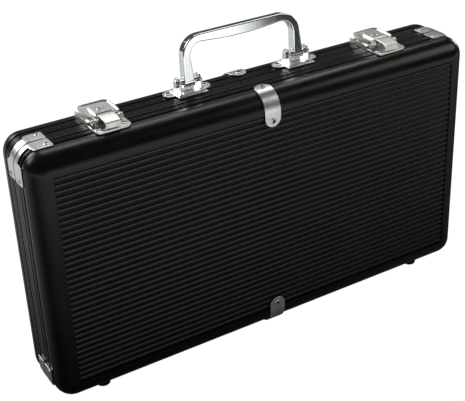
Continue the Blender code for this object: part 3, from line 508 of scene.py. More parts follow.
def across(points: Points, width: float, x: float = 0) -> Solid:
    """A side view, drawn in Y and Z, given a width along X about a place."""
    return plate(points, width, at(x, 0, 0) @ SIDEWAYS)


def turned(profile: Points, steps: int, place: Matrix = FLAT) -> Solid:
    """A profile turned about Z.

    Args:
        profile: Radii and heights, from one end on the axis to the other.
        steps: How many facets go round.
        place: Where the turned shape goes.

    Returns:
        The solid.
    """
    bm = bmesh.new()
    verts = [bm.verts.new((radius, 0, height)) for radius, height in profile]
    edges = [bm.edges.new(pair) for pair in zip(verts, verts[1:])]
    bmesh.ops.spin(
        bm, geom=verts + edges, cent=(0, 0, 0), axis=(0, 0, 1), angle=2 * math.pi, steps=steps,
        use_duplicate=False, use_merge=True,
    )
    bmesh.ops.remove_doubles(bm, verts=bm.verts, dist=MERGE)
    bmesh.ops.transform(bm, matrix=place, verts=bm.verts)
    return solid(bm)


def round_pin(radius: float, half: float, tip: float, sides: int, place: Matrix) -> Solid:
    """A pin along X with chamfered ends.

    Args:
        radius: Its radius.
        half: Half its length.
        tip: The chamfers' size.
        sides: How many facets go round.
        place: Where its middle goes.

    Returns:
        The solid.
    """
    end = [(0, half), (radius - tip, half), (radius, half - tip)]
    return turned([*((x, -z) for x, z in end), *reversed(end)], sides, place @ LYING)


def rod(
    centre: Sequence[float], axis: Point3, radius: float, length: float, sides: int
) -> Solid:
    """A cylinder, used as a cutter or joined into a piece.

    Args:
        centre: Its middle.
        axis: The way that it points.
        radius: Its radius.
        length: Its length.
        sides: How many facets go round.

    Returns:
        The solid.
    """
    bm = bmesh.new()
    turn = Vector((0, 0, 1)).rotation_difference(Vector(axis)).to_matrix().to_4x4()
    bmesh.ops.create_cone(
        bm, cap_ends=True, segments=sides, radius1=radius, radius2=radius, depth=length,
        matrix=Matrix.Translation(centre) @ turn,
    )
    return solid(bm)


def settle(obj: Solid) -> Solid:
    """Replace an object's mesh by what its modifiers make of it, and clear them.

    Args:
        obj: The object.

    Returns:
        The same object.
    """
    bpy.context.view_layer.update()
    mesh = bpy.data.meshes.new_from_object(obj.evaluated_get(bpy.context.evaluated_depsgraph_get()))
    obj.modifiers.clear()
    obj.data = mesh
    return obj


def combine(obj: Solid, operation: str, tools: Iterable[Solid]) -> Solid:
    """Join tools to an object or cut them from it, and remove them.

    Args:
        obj: The object that changes.
        operation: UNION or DIFFERENCE.
        tools: The solids that join or cut it.

    Returns:
        The object.
    """
    for tool in tools:
        boolean = obj.modifiers.new("boolean", "BOOLEAN")
        boolean.operation = operation
        boolean.solver = "EXACT"
        boolean.use_self = True
        boolean.object = tool
        settle(obj)
        bpy.data.objects.remove(tool, do_unlink=True)
    return obj


def join(obj: Solid, *tools: Solid) -> Solid:
    """Union the tools with the object."""
    return combine(obj, "UNION", tools)


def cut(obj: Solid, *tools: Solid) -> Solid:
    """Cut the tools out of the object."""
    return combine(obj, "DIFFERENCE", tools)


def join_sides(obj: Solid, points: Points, inner: float, outer: float) -> None:
    """Union a side view with both sides of the object.

    Args:
        obj: The object.
        points: The side view, drawn in Y and Z.
        inner: How far from the middle it starts on each side.
        outer: How far from the middle it ends.
    """
    for side in (-1, 1):
        join(obj, across(points, outer - inner, side * (inner + outer) / 2))


def gather(obj: Solid, other: Solid) -> Solid:
    """Put another object's mesh into an object's own, as loose bodies beside it.

    Args:
        obj: The object that is kept.
        other: The object whose mesh is added. It is removed.

    Returns:
        The object that is kept.
    """
    bm = bmesh.new()
    bm.from_mesh(obj.data)
    bm.from_mesh(other.data)
    bpy.data.objects.remove(other, do_unlink=True)
    bm.to_mesh(obj.data)
    bm.free()
    return obj


def round_edges(obj: Solid, width: float, segments: int = 2, angle: float = 40) -> Solid:
    """Round an object's edges that turn more than an angle.

    Args:
        obj: The object.
        width: How far each rounding reaches from its edge.
        segments: How many facets stand for a rounding.
        angle: The least angle that is rounded, in degrees.

    Returns:
        The object.
    """
    bevel = obj.modifiers.new("rounding", "BEVEL")
    bevel.width = width
    bevel.segments = segments
    bevel.limit_method = "ANGLE"
    bevel.angle_limit = math.radians(angle)
    bevel.use_clamp_overlap = True
    return settle(obj)


def moved(obj: Solid, place: Matrix) -> Solid:
    """Carry an object's mesh somewhere else."""
    obj.data.transform(place)
    return obj


def smooth(obj: Solid) -> Solid:
    """Shade an object smooth except at its sharp edges, with flat faces kept flat.

    Args:
        obj: The object.

    Returns:
        The same object.
    """
    obj.data.shade_smooth()
    obj.data.set_sharp_from_angle(angle=SHARP_ANGLE)
    weights = obj.modifiers.new("weights", "WEIGHTED_NORMAL")
    weights.keep_sharp = True
    return settle(obj)


def hand_in(obj: Solid, node: str, body: str, finish: Finish) -> None:
    """Give a piece its finish and let it stand for its CAD node.

    Args:
        obj: The piece, in place.
        node: The CAD node that it replaces.
        body: The body that it rides on.
        finish: Its material.
    """
    obj.name = node + "_looks"
    obj.data.name = obj.name
    obj.data.materials.clear()
    obj.data.materials.append(finish)
    smooth(obj)
    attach(obj, body)
    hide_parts(node)
    LOG.info("%s: %d faces on %s", obj.name, len(obj.data.polygons), body)


# Shapes that repeat


class CopyTree:
    """A tree that sets a shape on points, makes the copies real and gives them a material."""

    def __init__(self, name: str, **inputs: str) -> None:
        """Build the inputs and nodes that every such tree has.

        Args:
            name: The tree's name.
            inputs: The kinds of the inputs that are its own, by their names.
        """
        self.tree = bpy.data.node_groups.new(name, "GeometryNodeTree")
        self.inputs = {}
        for label, kind in {"Geometry": "Geometry", **inputs, "Finish": "Material"}.items():
            socket = self.tree.interface.new_socket(
                name=label, in_out="INPUT", socket_type="NodeSocket" + kind
            )
            self.inputs[label] = socket.identifier
        self.tree.interface.new_socket(
            name="Geometry", in_out="OUTPUT", socket_type="NodeSocketGeometry"
        )
        self.source = self.tree.nodes.new("NodeGroupInput").outputs
        result = self.tree.nodes.new("NodeGroupOutput")
        kinds = ("InstanceOnPoints", "RealizeInstances", "SetMaterial")
        spread, real, dressed = map(self.node, kinds)
        self.spread = spread.inputs
        self.link(
            (spread.outputs["Instances"], real.inputs["Geometry"]),
            (real.outputs["Geometry"], dressed.inputs["Geometry"]),
            (self.source["Finish"], dressed.inputs["Material"]),
            (dressed.outputs["Geometry"], result.inputs["Geometry"]),
        )

    def node(self, kind: str) -> bpy.types.Node:
        """Add a node of a geometry type."""
        return self.tree.nodes.new("GeometryNode" + kind)

    def link(self, *pairs: tuple[Socket, Socket]) -> None:
        """Link outputs to inputs."""
        for output, target in pairs:
            self.tree.links.new(output, target)

    def run(self, obj: Solid, **values: object) -> Solid:
        """Run the tree on an object's mesh.

        Args:
            obj: The object.
            values: What goes into the tree's inputs, by their names.

        Returns:
            The object, with what the tree makes as its mesh.
        """
        copies = obj.modifiers.new("copies", "NODES")
        copies.node_group = self.tree
        for label, value in values.items():
            copies[self.inputs[label]] = value
        return settle(obj)


class RowTree(CopyTree):
    """A tree that repeats its geometry along a straight row."""

    def __init__(self) -> None:
        """Add the row's points, as many as Count, one Step apart."""
        super().__init__("rib_row", Count="Int", Step="Vector")
        line = self.node("MeshLine")
        self.link(
            (self.source["Count"], line.inputs["Count"]),
            (self.source["Step"], line.inputs["Offset"]),
            (line.outputs["Mesh"], self.spread["Points"]),
            (self.source["Geometry"], self.spread["Instance"]),
        )


class RivetTree(CopyTree):
    """A tree that sets a rivet on every vertex of a mesh."""

    def __init__(self) -> None:
        """Take the Rivet from its object, at a Size."""
        super().__init__("rivet_places", Rivet="Object", Size="Float")
        rivet = self.node("ObjectInfo")
        self.link(
            (self.source["Rivet"], rivet.inputs["Object"]),
            (self.source["Geometry"], self.spread["Points"]),
            (rivet.outputs["Geometry"], self.spread["Instance"]),
            (self.source["Size"], self.spread["Scale"]),
        )


@dataclass
class Rivets:
    """The semi-tubular rivets that hold every fitting: a low domed head with a hollow in it."""

    finish: Finish
    radius: float = 0.0024
    height: float = 0.0007
    rim: float = 0.00025
    hollow_radius: float = 0.0013
    reach: float = 0.0028
    sink: float = 0.0002
    dome_steps: int = 5
    sides: int = 28

    def __post_init__(self) -> None:
        """Build the tree and the one head that it repeats."""
        self.tree = RivetTree()
        self.head = turned(self.profile(), self.sides)
        self.head.data.shade_smooth()

    def profile(self) -> list[Point2]:
        """The head's section.

        Returns:
            A closed line: the rim, the dome and the wall of the hole.
        """
        points = [
            (self.hollow_radius, -self.sink), (self.radius, -self.sink), (self.radius, self.rim)
        ]
        for step in range(1, self.dome_steps + 1):
            share = step / self.dome_steps
            radius = self.radius + (self.hollow_radius - self.radius) * share
            rise = math.sin(share * math.pi / 2)
            points.append((radius, self.rim + (self.height - self.rim) * rise))
        return [*points, points[0]]

    def fasten(
        self, obj: Solid, places: Sequence[Point3], size: float = 1.0, down: bool = False
    ) -> Solid:
        """Pierce a flat piece and set a rivet round each hole.

        Args:
            obj: The piece, flat in X and Y.
            places: Where the heads sit on it.
            size: The rivets' scale.
            down: Whether the heads are on its underside.

        Returns:
            The piece with its rivets.
        """
        radius = self.hollow_radius * size
        cut(obj, *(rod(place, (0, 0, 1), radius, self.reach, self.sides) for place in places))
        flip = Matrix.Diagonal((1, -1, -1, 1)) if down else FLAT
        mesh = bpy.data.meshes.new("rivets")
        mesh.from_pydata([flip @ Vector(place) for place in places], [], [])
        heads = linked("rivets", mesh)
        self.tree.run(heads, Rivet=self.head, Size=size, Finish=self.finish)
        return gather(obj, moved(heads, flip))

    def clear(self) -> None:
        """Remove the head that served as the pattern."""
        bpy.data.objects.remove(self.head, do_unlink=True)


# The case


@dataclass
class Case:
    """The case's overall sizes, which its pieces share."""

    length: float = 0.387
    height: float = 0.2083
    depth: float = 0.065
    bottom: float = 0.0042
    split_shift: float = 0.0032
    radius: float = 0.015
    border: float = 0.0163
    gap: float = 0.0003
    steps: int = 16

    def __post_init__(self) -> None:
        """Work out the places that the pieces share."""
        self.half_x = self.length / 2
        self.half_y = self.depth / 2
        self.half_z = self.height / 2
        self.top = self.bottom + self.height
        self.middle = self.bottom + self.half_z
        self.open_x = self.half_x - self.border
        self.open_z = self.half_z - self.border

    def rounded_block(
        self, half_x: float, half_z: float, near: float, far: float, radius: float
    ) -> Solid:
        """A box about the case's middle, rounded round its side and on its far face.

        Args:
            half_x: Half its length.
            half_z: Half its height.
            near: Where its square face lies along Y.
            far: Where its rounded face lies along Y.
            radius: The radius of the rounding.

        Returns:
            The solid.
        """
        low_y, high_y = sorted((near, far))
        bm = bmesh.new()
        place = at(0, (low_y + high_y) / 2, self.middle)
        size = Matrix.Diagonal((2 * half_x, high_y - low_y, 2 * half_z, 1))
        bmesh.ops.create_cube(bm, size=1, matrix=place @ size)
        rounded = []
        for edge in bm.edges:
            first, second = (vert.co.y for vert in edge.verts)
            on_far = all(abs(y - far) < abs(y - near) for y in (first, second))
            if abs(first - second) > abs(high_y - low_y) / 2 or on_far:
                rounded.append(edge)
        bmesh.ops.bevel(
            bm, geom=rounded, offset=radius, offset_type="OFFSET", segments=self.steps,
            profile=0.5, affect="EDGES", clamp_overlap=False,
        )
        return solid(bm)


@dataclass
class EdgeFrame:
    """The case's rounded aluminium frame, two U-shaped lengths on each half."""

    case: Case
    start: float = 0.0157
    wall: float = 0.0012
    groove_from: float = 0.0193
    groove_width: float = 0.0005
    groove_depth: float = 0.00035
    overrun: float = 0.002
    rounding: float = 0.00025

    def build(self, half: Half, end: End) -> Solid:
        """One length of the frame.

        Args:
            half: The half of the case.
            end: The end that it goes round.

        Returns:
            The solid.
        """
        case, side, past = self.case, half.value, self.overrun
        near, far = side * self.start, side * case.half_y
        shell = case.rounded_block(case.half_x, case.half_z, near, far, case.radius)
        hollow = case.rounded_block(
            case.half_x - self.wall, case.half_z - self.wall, near - side * past,
            side * (case.half_y - self.wall), case.radius - self.wall,
        )
        window = block(
            (-case.open_x, near, case.middle - case.open_z),
            (case.open_x, side * (case.half_y + past), case.middle + case.open_z),
        )
        other_end = block(
            (end.value * case.gap / 2, -case.half_y - past, case.bottom - past),
            (-end.value * (case.half_x + past), case.half_y + past, case.top + past),
        )
        cut(shell, hollow, window, other_end, self.groove(side))
        return round_edges(shell, self.rounding)

    def groove(self, side: int) -> Solid:
        """The fine line that runs round the frame's side, as a ring that is cut out.

        Args:
            side: The side of the middle plane.

        Returns:
            The ring.
        """
        case = self.case
        ring = block(
            (-case.length, side * self.groove_from, case.bottom - case.height),
            (case.length, side * (self.groove_from + self.groove_width), case.top + case.height),
        )
        core = case.rounded_block(
            case.half_x - self.groove_depth, case.half_z - self.groove_depth,
            side * (self.start - self.overrun), side * (case.half_y + case.radius),
            case.radius - self.groove_depth,
        )
        return cut(ring, core)


@dataclass
class SideBand:
    """The ridged extrusion that closes the case's sides, four lengths on each half.

    Dips and lines are measured from the middle plane.
    """

    case: Case
    face_end: float = 0.0138
    tongue_end: float = 0.019
    wall: float = 0.0012
    inset: float = 0.0015
    chamfer: float = 0.0004
    chamfer_depth: float = 0.0003
    lid_dip: float = 0.0075
    base_dip: float = 0.004
    dip_depth: float = 0.0015
    dip_mouth: float = 0.0025
    dip_floor: float = 0.0008
    lid_lines: tuple[float, ...] = (0.0105, 0.0127)
    base_lines: tuple[float, ...] = (0.0002, 0.0068, 0.0092, 0.0118)
    line_depth: float = 0.0009
    line_width: float = 0.0011
    joint_inset: float = 0.0215

    def section(self, half: Half) -> list[Point2]:
        """The band's section.

        Args:
            half: The half of the case.

        Returns:
            Its points: how far each lies from the middle plane, and how deep.
        """
        lid = half is Half.LID
        dip, lines = (self.lid_dip, self.lid_lines) if lid else (self.base_dip, self.base_lines)
        start = self.case.gap / 2 - half.value * self.case.split_shift
        dents = [
            (dip - self.dip_mouth / 2, 0),
            (dip - self.dip_floor / 2, self.dip_depth),
            (dip + self.dip_floor / 2, self.dip_depth),
            (dip + self.dip_mouth / 2, 0),
        ]
        for middle in lines:
            dents += [
                (middle - self.line_width / 2, 0), (middle, self.line_depth),
                (middle + self.line_width / 2, 0),
            ]
        return [
            (start, self.chamfer_depth),
            (start + self.chamfer, 0),
            *sorted(dents),
            (self.face_end - self.chamfer, 0),
            (self.face_end, self.chamfer_depth),
            (self.face_end, self.inset),
            (self.tongue_end, self.inset),
            (self.tongue_end, self.inset + self.wall),
            (start, self.inset + self.wall),
        ]

    def straight(self, half: Half, level: Level) -> Solid:
        """The length along the case's top or bottom.

        Args:
            half: The half of the case.
            level: The edge that it lies along.

        Returns:
            The solid.
        """
        case = self.case
        edge = case.middle + level.value * case.half_z
        points = [
            (half.value * along, edge - level.value * depth) for along, depth in self.section(half)
        ]
        return plate(points, 2 * (case.half_x - self.joint_inset - case.gap), SIDEWAYS)

    def path(self) -> list[Point3]:
        """The line round one end of the case.

        Returns:
            Its places along X and Z and, in degrees, the way that the band faces there.
        """
        case = self.case
        bend = (case.half_x - case.radius, case.half_z - case.radius)
        path = [(case.half_x - self.joint_inset, case.half_z, 90.0)]
        for step in range(case.steps + 1):
            angle = 90 * (1 - step / case.steps)
            path.append((*arc(bend, case.radius, angle, angle, 1)[0], angle))
        return path + [(x, -z, -angle) for x, z, angle in reversed(path)]

    def bent(self, half: Half, end: End) -> Solid:
        """The length that goes round one end of the case.

        Args:
            half: The half of the case.
            end: The end.

        Returns:
            The solid, swept along two bends and three straights.
        """
        section = self.section(half)
        bm = bmesh.new()
        rings = []
        for x, z, angle in self.path():
            inward = (-math.cos(math.radians(angle)), -math.sin(math.radians(angle)))
            rings.append([
                bm.verts.new((
                    end.value * (x + depth * inward[0]), half.value * along,
                    self.case.middle + z + depth * inward[1],
                ))
                for along, depth in section
            ])
        for first, second in zip(rings, rings[1:]):
            for index in range(len(first)):
                after = (index + 1) % len(first)
                bm.faces.new((first[index], first[after], second[after], second[index]))
        bm.faces.new(rings[0])
        bm.faces.new(rings[-1])
        return solid(bm)


@dataclass
class RibbedPanel:
    """The large panel of one half: a plate with rounded ribs along the case."""

    case: Case
    rows: RowTree
    finish: Finish
    frame_wall: float = 0.0012
    thickness: float = 0.002
    lap: float = 0.0023
    crest_inset: float = 0.0004
    ribs: int = 36
    floor_share: float = 0.16
    crest_radius: float = 0.0034
    steps: int = 12
    sink: float = 0.0002

    def __post_init__(self) -> None:
        """Work out how far the panel's face lies from the middle plane, and the ribs' pitch."""
        self.face = self.case.half_y - self.frame_wall - self.case.gap
        self.pitch = 2 * self.case.open_z / self.ribs

    def rib(self, side: int) -> Solid:
        """The lowest rib: a rounded crest between two steep flanks.

        Args:
            side: The side of the middle plane.

        Returns:
            The solid.
        """
        case, pitch = self.case, self.pitch
        crest_y = case.half_y - self.crest_inset
        foot = (1 - self.floor_share) / 2 * pitch
        lean = math.degrees(math.asin(foot / self.crest_radius))
        crest = arc((crest_y - self.crest_radius, 0), self.crest_radius, -lean, lean, self.steps)
        points = [(self.face - self.sink, -foot), *crest, (self.face - self.sink, foot)]
        middle = case.middle - case.open_z + pitch / 2
        placed = [(side * y, middle + z) for y, z in points]
        return plate(placed, 2 * (case.open_x - case.gap), SIDEWAYS)

    def build(self, half: Half) -> Solid:
        """The panel of one half, its ribs set in a row by the tree.

        Args:
            half: The half of the case.

        Returns:
            The plate with its ribs.
        """
        case, side = self.case, half.value
        half_x, half_z = case.open_x + self.lap, case.open_z + self.lap
        panel = block(
            (-half_x, side * (self.face - self.thickness), case.middle - half_z),
            (half_x, side * self.face, case.middle + half_z),
        )
        ribs = self.rows.run(
            self.rib(side), Count=self.ribs, Step=(0, 0, self.pitch), Finish=self.finish
        )
        return gather(panel, ribs)


# Fittings round the edges


@dataclass
class Fold:
    """A quarter bend that flat pieces are wrapped round.

    A flat piece has X along the bend, measured from its middle, Y across it and Z above the
    case's surface.
    """

    radius: float
    centre: Point3
    first: Point3
    second: Point3
    across: Point3
    steps: int = 14
    tolerance: float = 0.000001

    def wrap(self, obj: Solid) -> Solid:
        """Wrap a flat piece round the bend.

        Args:
            obj: The flat piece.

        Returns:
            The same object, bent and in place.
        """
        quarter = self.radius * math.pi / 2
        bm = bmesh.new()
        bm.from_mesh(obj.data)
        for step in range(self.steps + 1):
            line = quarter * (step / self.steps - 1 / 2)
            bmesh.ops.bisect_plane(
                bm, geom=[*bm.verts, *bm.edges, *bm.faces], plane_co=(line, 0, 0),
                plane_no=(1, 0, 0), dist=self.tolerance,
            )
        centre, first, second, sidewards = map(
            Vector, (self.centre, self.first, self.second, self.across)
        )
        for vert in bm.verts:
            along, sideways, above = vert.co
            inside = max(-quarter / 2, min(quarter / 2, along))
            angle = inside / self.radius + math.pi / 4
            outward = first * math.cos(angle) + second * math.sin(angle)
            tangent = second * math.cos(angle) - first * math.sin(angle)
            vert.co = (
                centre + outward * (self.radius + above) + tangent * (along - inside)
                + sidewards * sideways
            )
        if first.cross(second).dot(sidewards) < 0:
            bmesh.ops.reverse_faces(bm, faces=bm.faces)
        bm.to_mesh(obj.data)
        bm.free()
        return obj


@dataclass
class EdgeStrap:
    """The riveted strap over the joint of the frame's two lengths."""

    case: Case
    rivets: Rivets
    width: float = 0.014
    thickness: float = 0.001
    face_reach: float = 0.0114
    rivet_inset: float = 0.005
    lid_tip: float = 0.0135
    base_tip: float = 0.0108
    rounding: float = 0.00028
    rounding_steps: int = 3
    steps: int = 12

    def build(self, half: Half, level: Level) -> Solid:
        """The strap at the top or bottom of one half.

        Args:
            half: The half of the case.
            level: The edge that it goes round.

        Returns:
            The solid with its rivets.
        """
        case = self.case
        quarter = case.radius * math.pi / 2
        tip = self.lid_tip if half is Half.LID else self.base_tip
        start = -quarter / 2 - (case.half_y - case.radius - tip)
        end = quarter / 2 + self.face_reach
        radius = self.width / 2
        points = arc((end - radius, 0), radius, -90, 90, self.steps)
        points += arc((start + radius, 0), radius, 90, 270, self.steps)
        top = case.gap + self.thickness
        strap = sheet(points, case.gap, top)
        round_edges(strap, self.rounding, self.rounding_steps)
        ends = (start + self.rivet_inset, end - self.rivet_inset)
        self.rivets.fasten(strap, [(along, 0, top) for along in ends])
        centre = (
            0, half.value * (case.half_y - case.radius),
            case.middle + level.value * (case.half_z - case.radius),
        )
        up, out = (0, 0, level.value), (0, half.value, 0)
        return Fold(case.radius, centre, up, out, (1, 0, 0)).wrap(strap)


@dataclass
class CornerBracket:
    """The riveted bracket that joins the band's lengths round one corner of the case.

    Each half's bracket has a near edge, a waist and a far edge, measured from the middle plane,
    and a tab with a length.
    """

    case: Case
    rivets: Rivets
    lid_sizes: tuple[float, ...] = (0.0045, 0.0092, 0.0172, 0.0145)
    base_sizes: tuple[float, ...] = (-0.003, 0.0045, 0.0077, 0.0135)
    thickness: float = 0.0009
    reach: float = 0.0102
    corner: float = 0.0013
    shoulder: float = 165
    rivet_inset: float = 0.0039
    rivet_size: float = 0.8
    rounding: float = 0.00025
    steps: int = 6

    def build(self, half: Half, level: Level, end: End) -> Solid:
        """The bracket at one corner of one half.

        Args:
            half: The half of the case.
            level: The corner's level.
            end: The corner's end.

        Returns:
            The solid with its rivets.
        """
        case, radius, steps = self.case, self.corner, self.steps
        near, waist, far, tab = self.lid_sizes if half is Half.LID else self.base_sizes
        reach = case.radius * math.pi / 4 + self.reach
        points = [
            (0, near),
            *arc((reach - radius, near + radius), radius, -90, 0, steps),
            *arc((reach - radius, far - radius), radius, 0, 90, steps),
            *arc((reach - tab + radius, far - radius), radius, 90, self.shoulder, steps),
            (reach - tab - radius, waist),
            (0, waist),
        ]
        outline = points + [(-along, sideways) for along, sideways in reversed(points[1:-1])]
        top = case.gap + self.thickness
        bracket = sheet(outline, case.gap, top)
        round_edges(bracket, self.rounding)
        x, y = reach - self.rivet_inset, far - self.rivet_inset
        self.rivets.fasten(bracket, [(-x, y, top), (x, y, top)], self.rivet_size)
        centre = (
            end.value * (case.half_x - case.radius), 0,
            case.middle + level.value * (case.half_z - case.radius),
        )
        up, out, sidewards = (0, 0, level.value), (end.value, 0, 0), (0, half.value, 0)
        return Fold(case.radius, centre, up, out, sidewards).wrap(bracket)


@dataclass
class Foot:
    """A turned rubber foot with a rounded rim and a shallow dish below.

    The dish's section is given in shares of its radius and depth.
    """

    case: Case
    radius: float = 0.00625
    tip_radius: float = 0.0055
    inset: float = 0.040
    from_middle: float = 0.017
    rim: float = 0.0006
    dish_radius: float = 0.0032
    dish_depth: float = 0.0011
    dish_section: tuple[Point2, ...] = ((0, 1), (0.8, 1), (1, 0.7), (1.1, 0))
    rim_steps: int = 4
    sides: int = 48

    def build(self, half: Half, end: End) -> Solid:
        """The foot of one half at one end.

        Args:
            half: The half of the case.
            end: The end.

        Returns:
            The solid.
        """
        height = self.case.bottom - self.case.gap
        profile = [(self.dish_radius * x, self.dish_depth * z) for x, z in self.dish_section]
        profile += arc((self.tip_radius - self.rim, self.rim), self.rim, -90, 0, self.rim_steps)
        profile += [(self.radius, height), (0, height)]
        x = end.value * (self.case.half_x - self.inset)
        return turned(profile, self.sides, at(x, half.value * self.from_middle, 0))


@dataclass
class Hinge:
    """A small riveted butt hinge under the case: two leaves with knuckles round a pin."""

    case: Case
    rivets: Rivets
    inset: float = 0.0835
    width: float = 0.036
    knuckle: float = 0.0016
    bore: float = 0.0011
    pin: float = 0.0008
    gap: float = 0.0004
    thickness: float = 0.001
    notch: float = 0.0022
    reach: float = 0.0125
    corner: float = 0.0025
    rivet_spread: float = 0.011
    rivet_size: float = 0.83
    rounding: float = 0.0002
    overrun: float = 0.002
    sink: float = 0.0002
    tip: float = 0.0003
    steps: int = 6
    sides: int = 32

    def place(self, end: End) -> Matrix:
        """The middle of one hinge, on its axis."""
        low = self.case.bottom - self.case.gap - self.knuckle
        return at(end.value * (self.case.half_x - self.inset), -self.case.split_shift, low)

    def leaf(self, half: Half, end: End) -> Solid:
        """One leaf: the base's has the outer knuckles and the lid's the middle one.

        Args:
            half: The half that it is riveted to.
            end: The end of the case.

        Returns:
            The solid with its rivets.
        """
        top, edge, side, corner = self.knuckle, self.width / 2, half.value, self.corner
        under = top - self.thickness
        bend = arc((edge - corner, self.reach - corner), corner, 0, 90, self.steps)
        points = mirrored([(edge, side * self.notch), *((x, side * y) for x, y in bend)])
        leaf = sheet(points, under, top)
        round_edges(leaf, self.rounding)
        third = self.width / 3
        if half is Half.LID:
            knuckles = [(0, third - self.gap)]
        else:
            length = third - self.gap / 2
            offset = edge - length / 2
            knuckles = [(-offset, length), (offset, length)]
        for x, length in knuckles:
            web = block(
                (x - length / 2, 0, under),
                (x + length / 2, side * (self.notch + self.sink), top - self.sink / 2),
            )
            join(leaf, rod((x, 0, 0), (1, 0, 0), self.knuckle, length, self.sides), web)
        cut(leaf, rod((0, 0, 0), (1, 0, 0), self.bore, self.width + self.overrun, self.sides))
        y = side * (self.notch + self.reach) / 2
        places = [(x, y, under) for x in (-self.rivet_spread, self.rivet_spread)]
        self.rivets.fasten(leaf, places, self.rivet_size, down=True)
        return moved(leaf, self.place(end))

    def shaft(self, end: End) -> Solid:
        """The hinge's pin."""
        return round_pin(self.pin, self.width / 2, self.tip, self.sides, self.place(end))


# The lining and the trays


@dataclass
class Interior:
    """The lid's lining and the flocked trays for chips, cards and dice."""

    case: Case
    panel_back: float = 0.029
    lining_thickness: float = 0.0015
    lining_rounding: float = 0.0005
    lining_half_x: float = 0.176
    lining_half_z: float = 0.08665
    side_inset: float = 0.003
    tray_top: float = 0.005
    tray_radius: float = 0.012
    middle_width: float = 0.1177
    chip_radius: float = 0.020
    row_axis: float = 0.0072
    row_pitch: float = 0.043
    row_wall: float = 0.01815
    rows: int = 3
    card_length: float = 0.092
    card_width: float = 0.067
    card_depth: float = 0.018
    dice_width: float = 0.020
    dice_depth: float = 0.0145
    rounding: float = 0.0012
    rounding_steps: int = 3
    rounding_angle: float = 50
    overrun: float = 0.002
    row_steps: int = 40

    def lining(self) -> Solid:
        """The padded lining behind the lid's panel, with soft edges.

        Returns:
            The solid.
        """
        case = self.case
        near = -self.panel_back + case.gap
        lining = block(
            (-self.lining_half_x, near, case.middle - self.lining_half_z),
            (self.lining_half_x, near + self.lining_thickness, case.middle + self.lining_half_z),
        )
        return round_edges(lining, self.lining_rounding, self.rounding_steps)

    def blank(self, low_x: float, high_x: float) -> Solid:
        """A tray's block before its rows or wells are cut.

        Args:
            low_x: Where it starts along the case.
            high_x: Where it ends.

        Returns:
            The solid.
        """
        case = self.case
        half_x, half_z = case.half_x - self.side_inset, case.half_z - self.side_inset
        back = self.panel_back - case.gap
        tray = case.rounded_block(half_x, half_z, self.tray_top, back, self.tray_radius)
        low_y, high_y = self.tray_top - self.overrun, case.half_y
        for from_x, to_x in ((-case.half_x, low_x), (high_x, case.half_x)):
            if to_x - from_x > self.overrun:
                cut(tray, block((from_x, low_y, case.bottom), (to_x, high_y, case.top)))
        return tray

    def soften(self, tray: Solid) -> Solid:
        """Round a tray's edges."""
        return round_edges(tray, self.rounding, self.rounding_steps, self.rounding_angle)

    def chip_tray(self, end: End) -> Solid:
        """A tray with round-bottomed rows for chips.

        Args:
            end: The end of the case that it fills.

        Returns:
            The solid.
        """
        case = self.case
        inner, outer = self.middle_width / 2 + case.gap, case.half_x - self.side_inset
        if end is End.LEFT:
            tray = self.blank(-case.half_x, -inner)
        else:
            tray = self.blank(inner, case.half_x)
        margin = (outer - inner - self.rows * self.row_pitch) / 2
        length = 2 * (case.half_z - self.side_inset - self.row_wall)
        mouth = self.tray_top - self.overrun
        for row in range(self.rows):
            middle = end.value * (inner + margin + (row + 0.5) * self.row_pitch)
            points = [(middle - self.chip_radius, mouth), (middle + self.chip_radius, mouth)]
            points += arc((middle, self.row_axis), self.chip_radius, 0, 180, self.row_steps)
            cut(tray, plate(points, length, at(0, 0, case.middle)))
        return self.soften(tray)

    def middle_tray(self) -> Solid:
        """The tray with two wells for packs of cards and a dice well between them.

        Returns:
            The solid.
        """
        case = self.case
        tray = self.blank(-self.middle_width / 2, self.middle_width / 2)
        height = 2 * (case.half_z - self.side_inset)
        wall = (height - 2 * self.card_width - self.dice_width) / 4
        card_z = self.dice_width / 2 + wall + self.card_width / 2
        mouth = self.tray_top - self.overrun
        for middle, width, depth in (
            (card_z, self.card_width, self.card_depth),
            (0, self.dice_width, self.dice_depth),
            (-card_z, self.card_width, self.card_depth),
        ):
            low = (-self.card_length / 2, mouth, case.middle + middle - width / 2)
            high = (self.card_length / 2, self.tray_top + depth, case.middle + middle + width / 2)
            cut(tray, block(low, high))
        return self.soften(tray)


# Latches


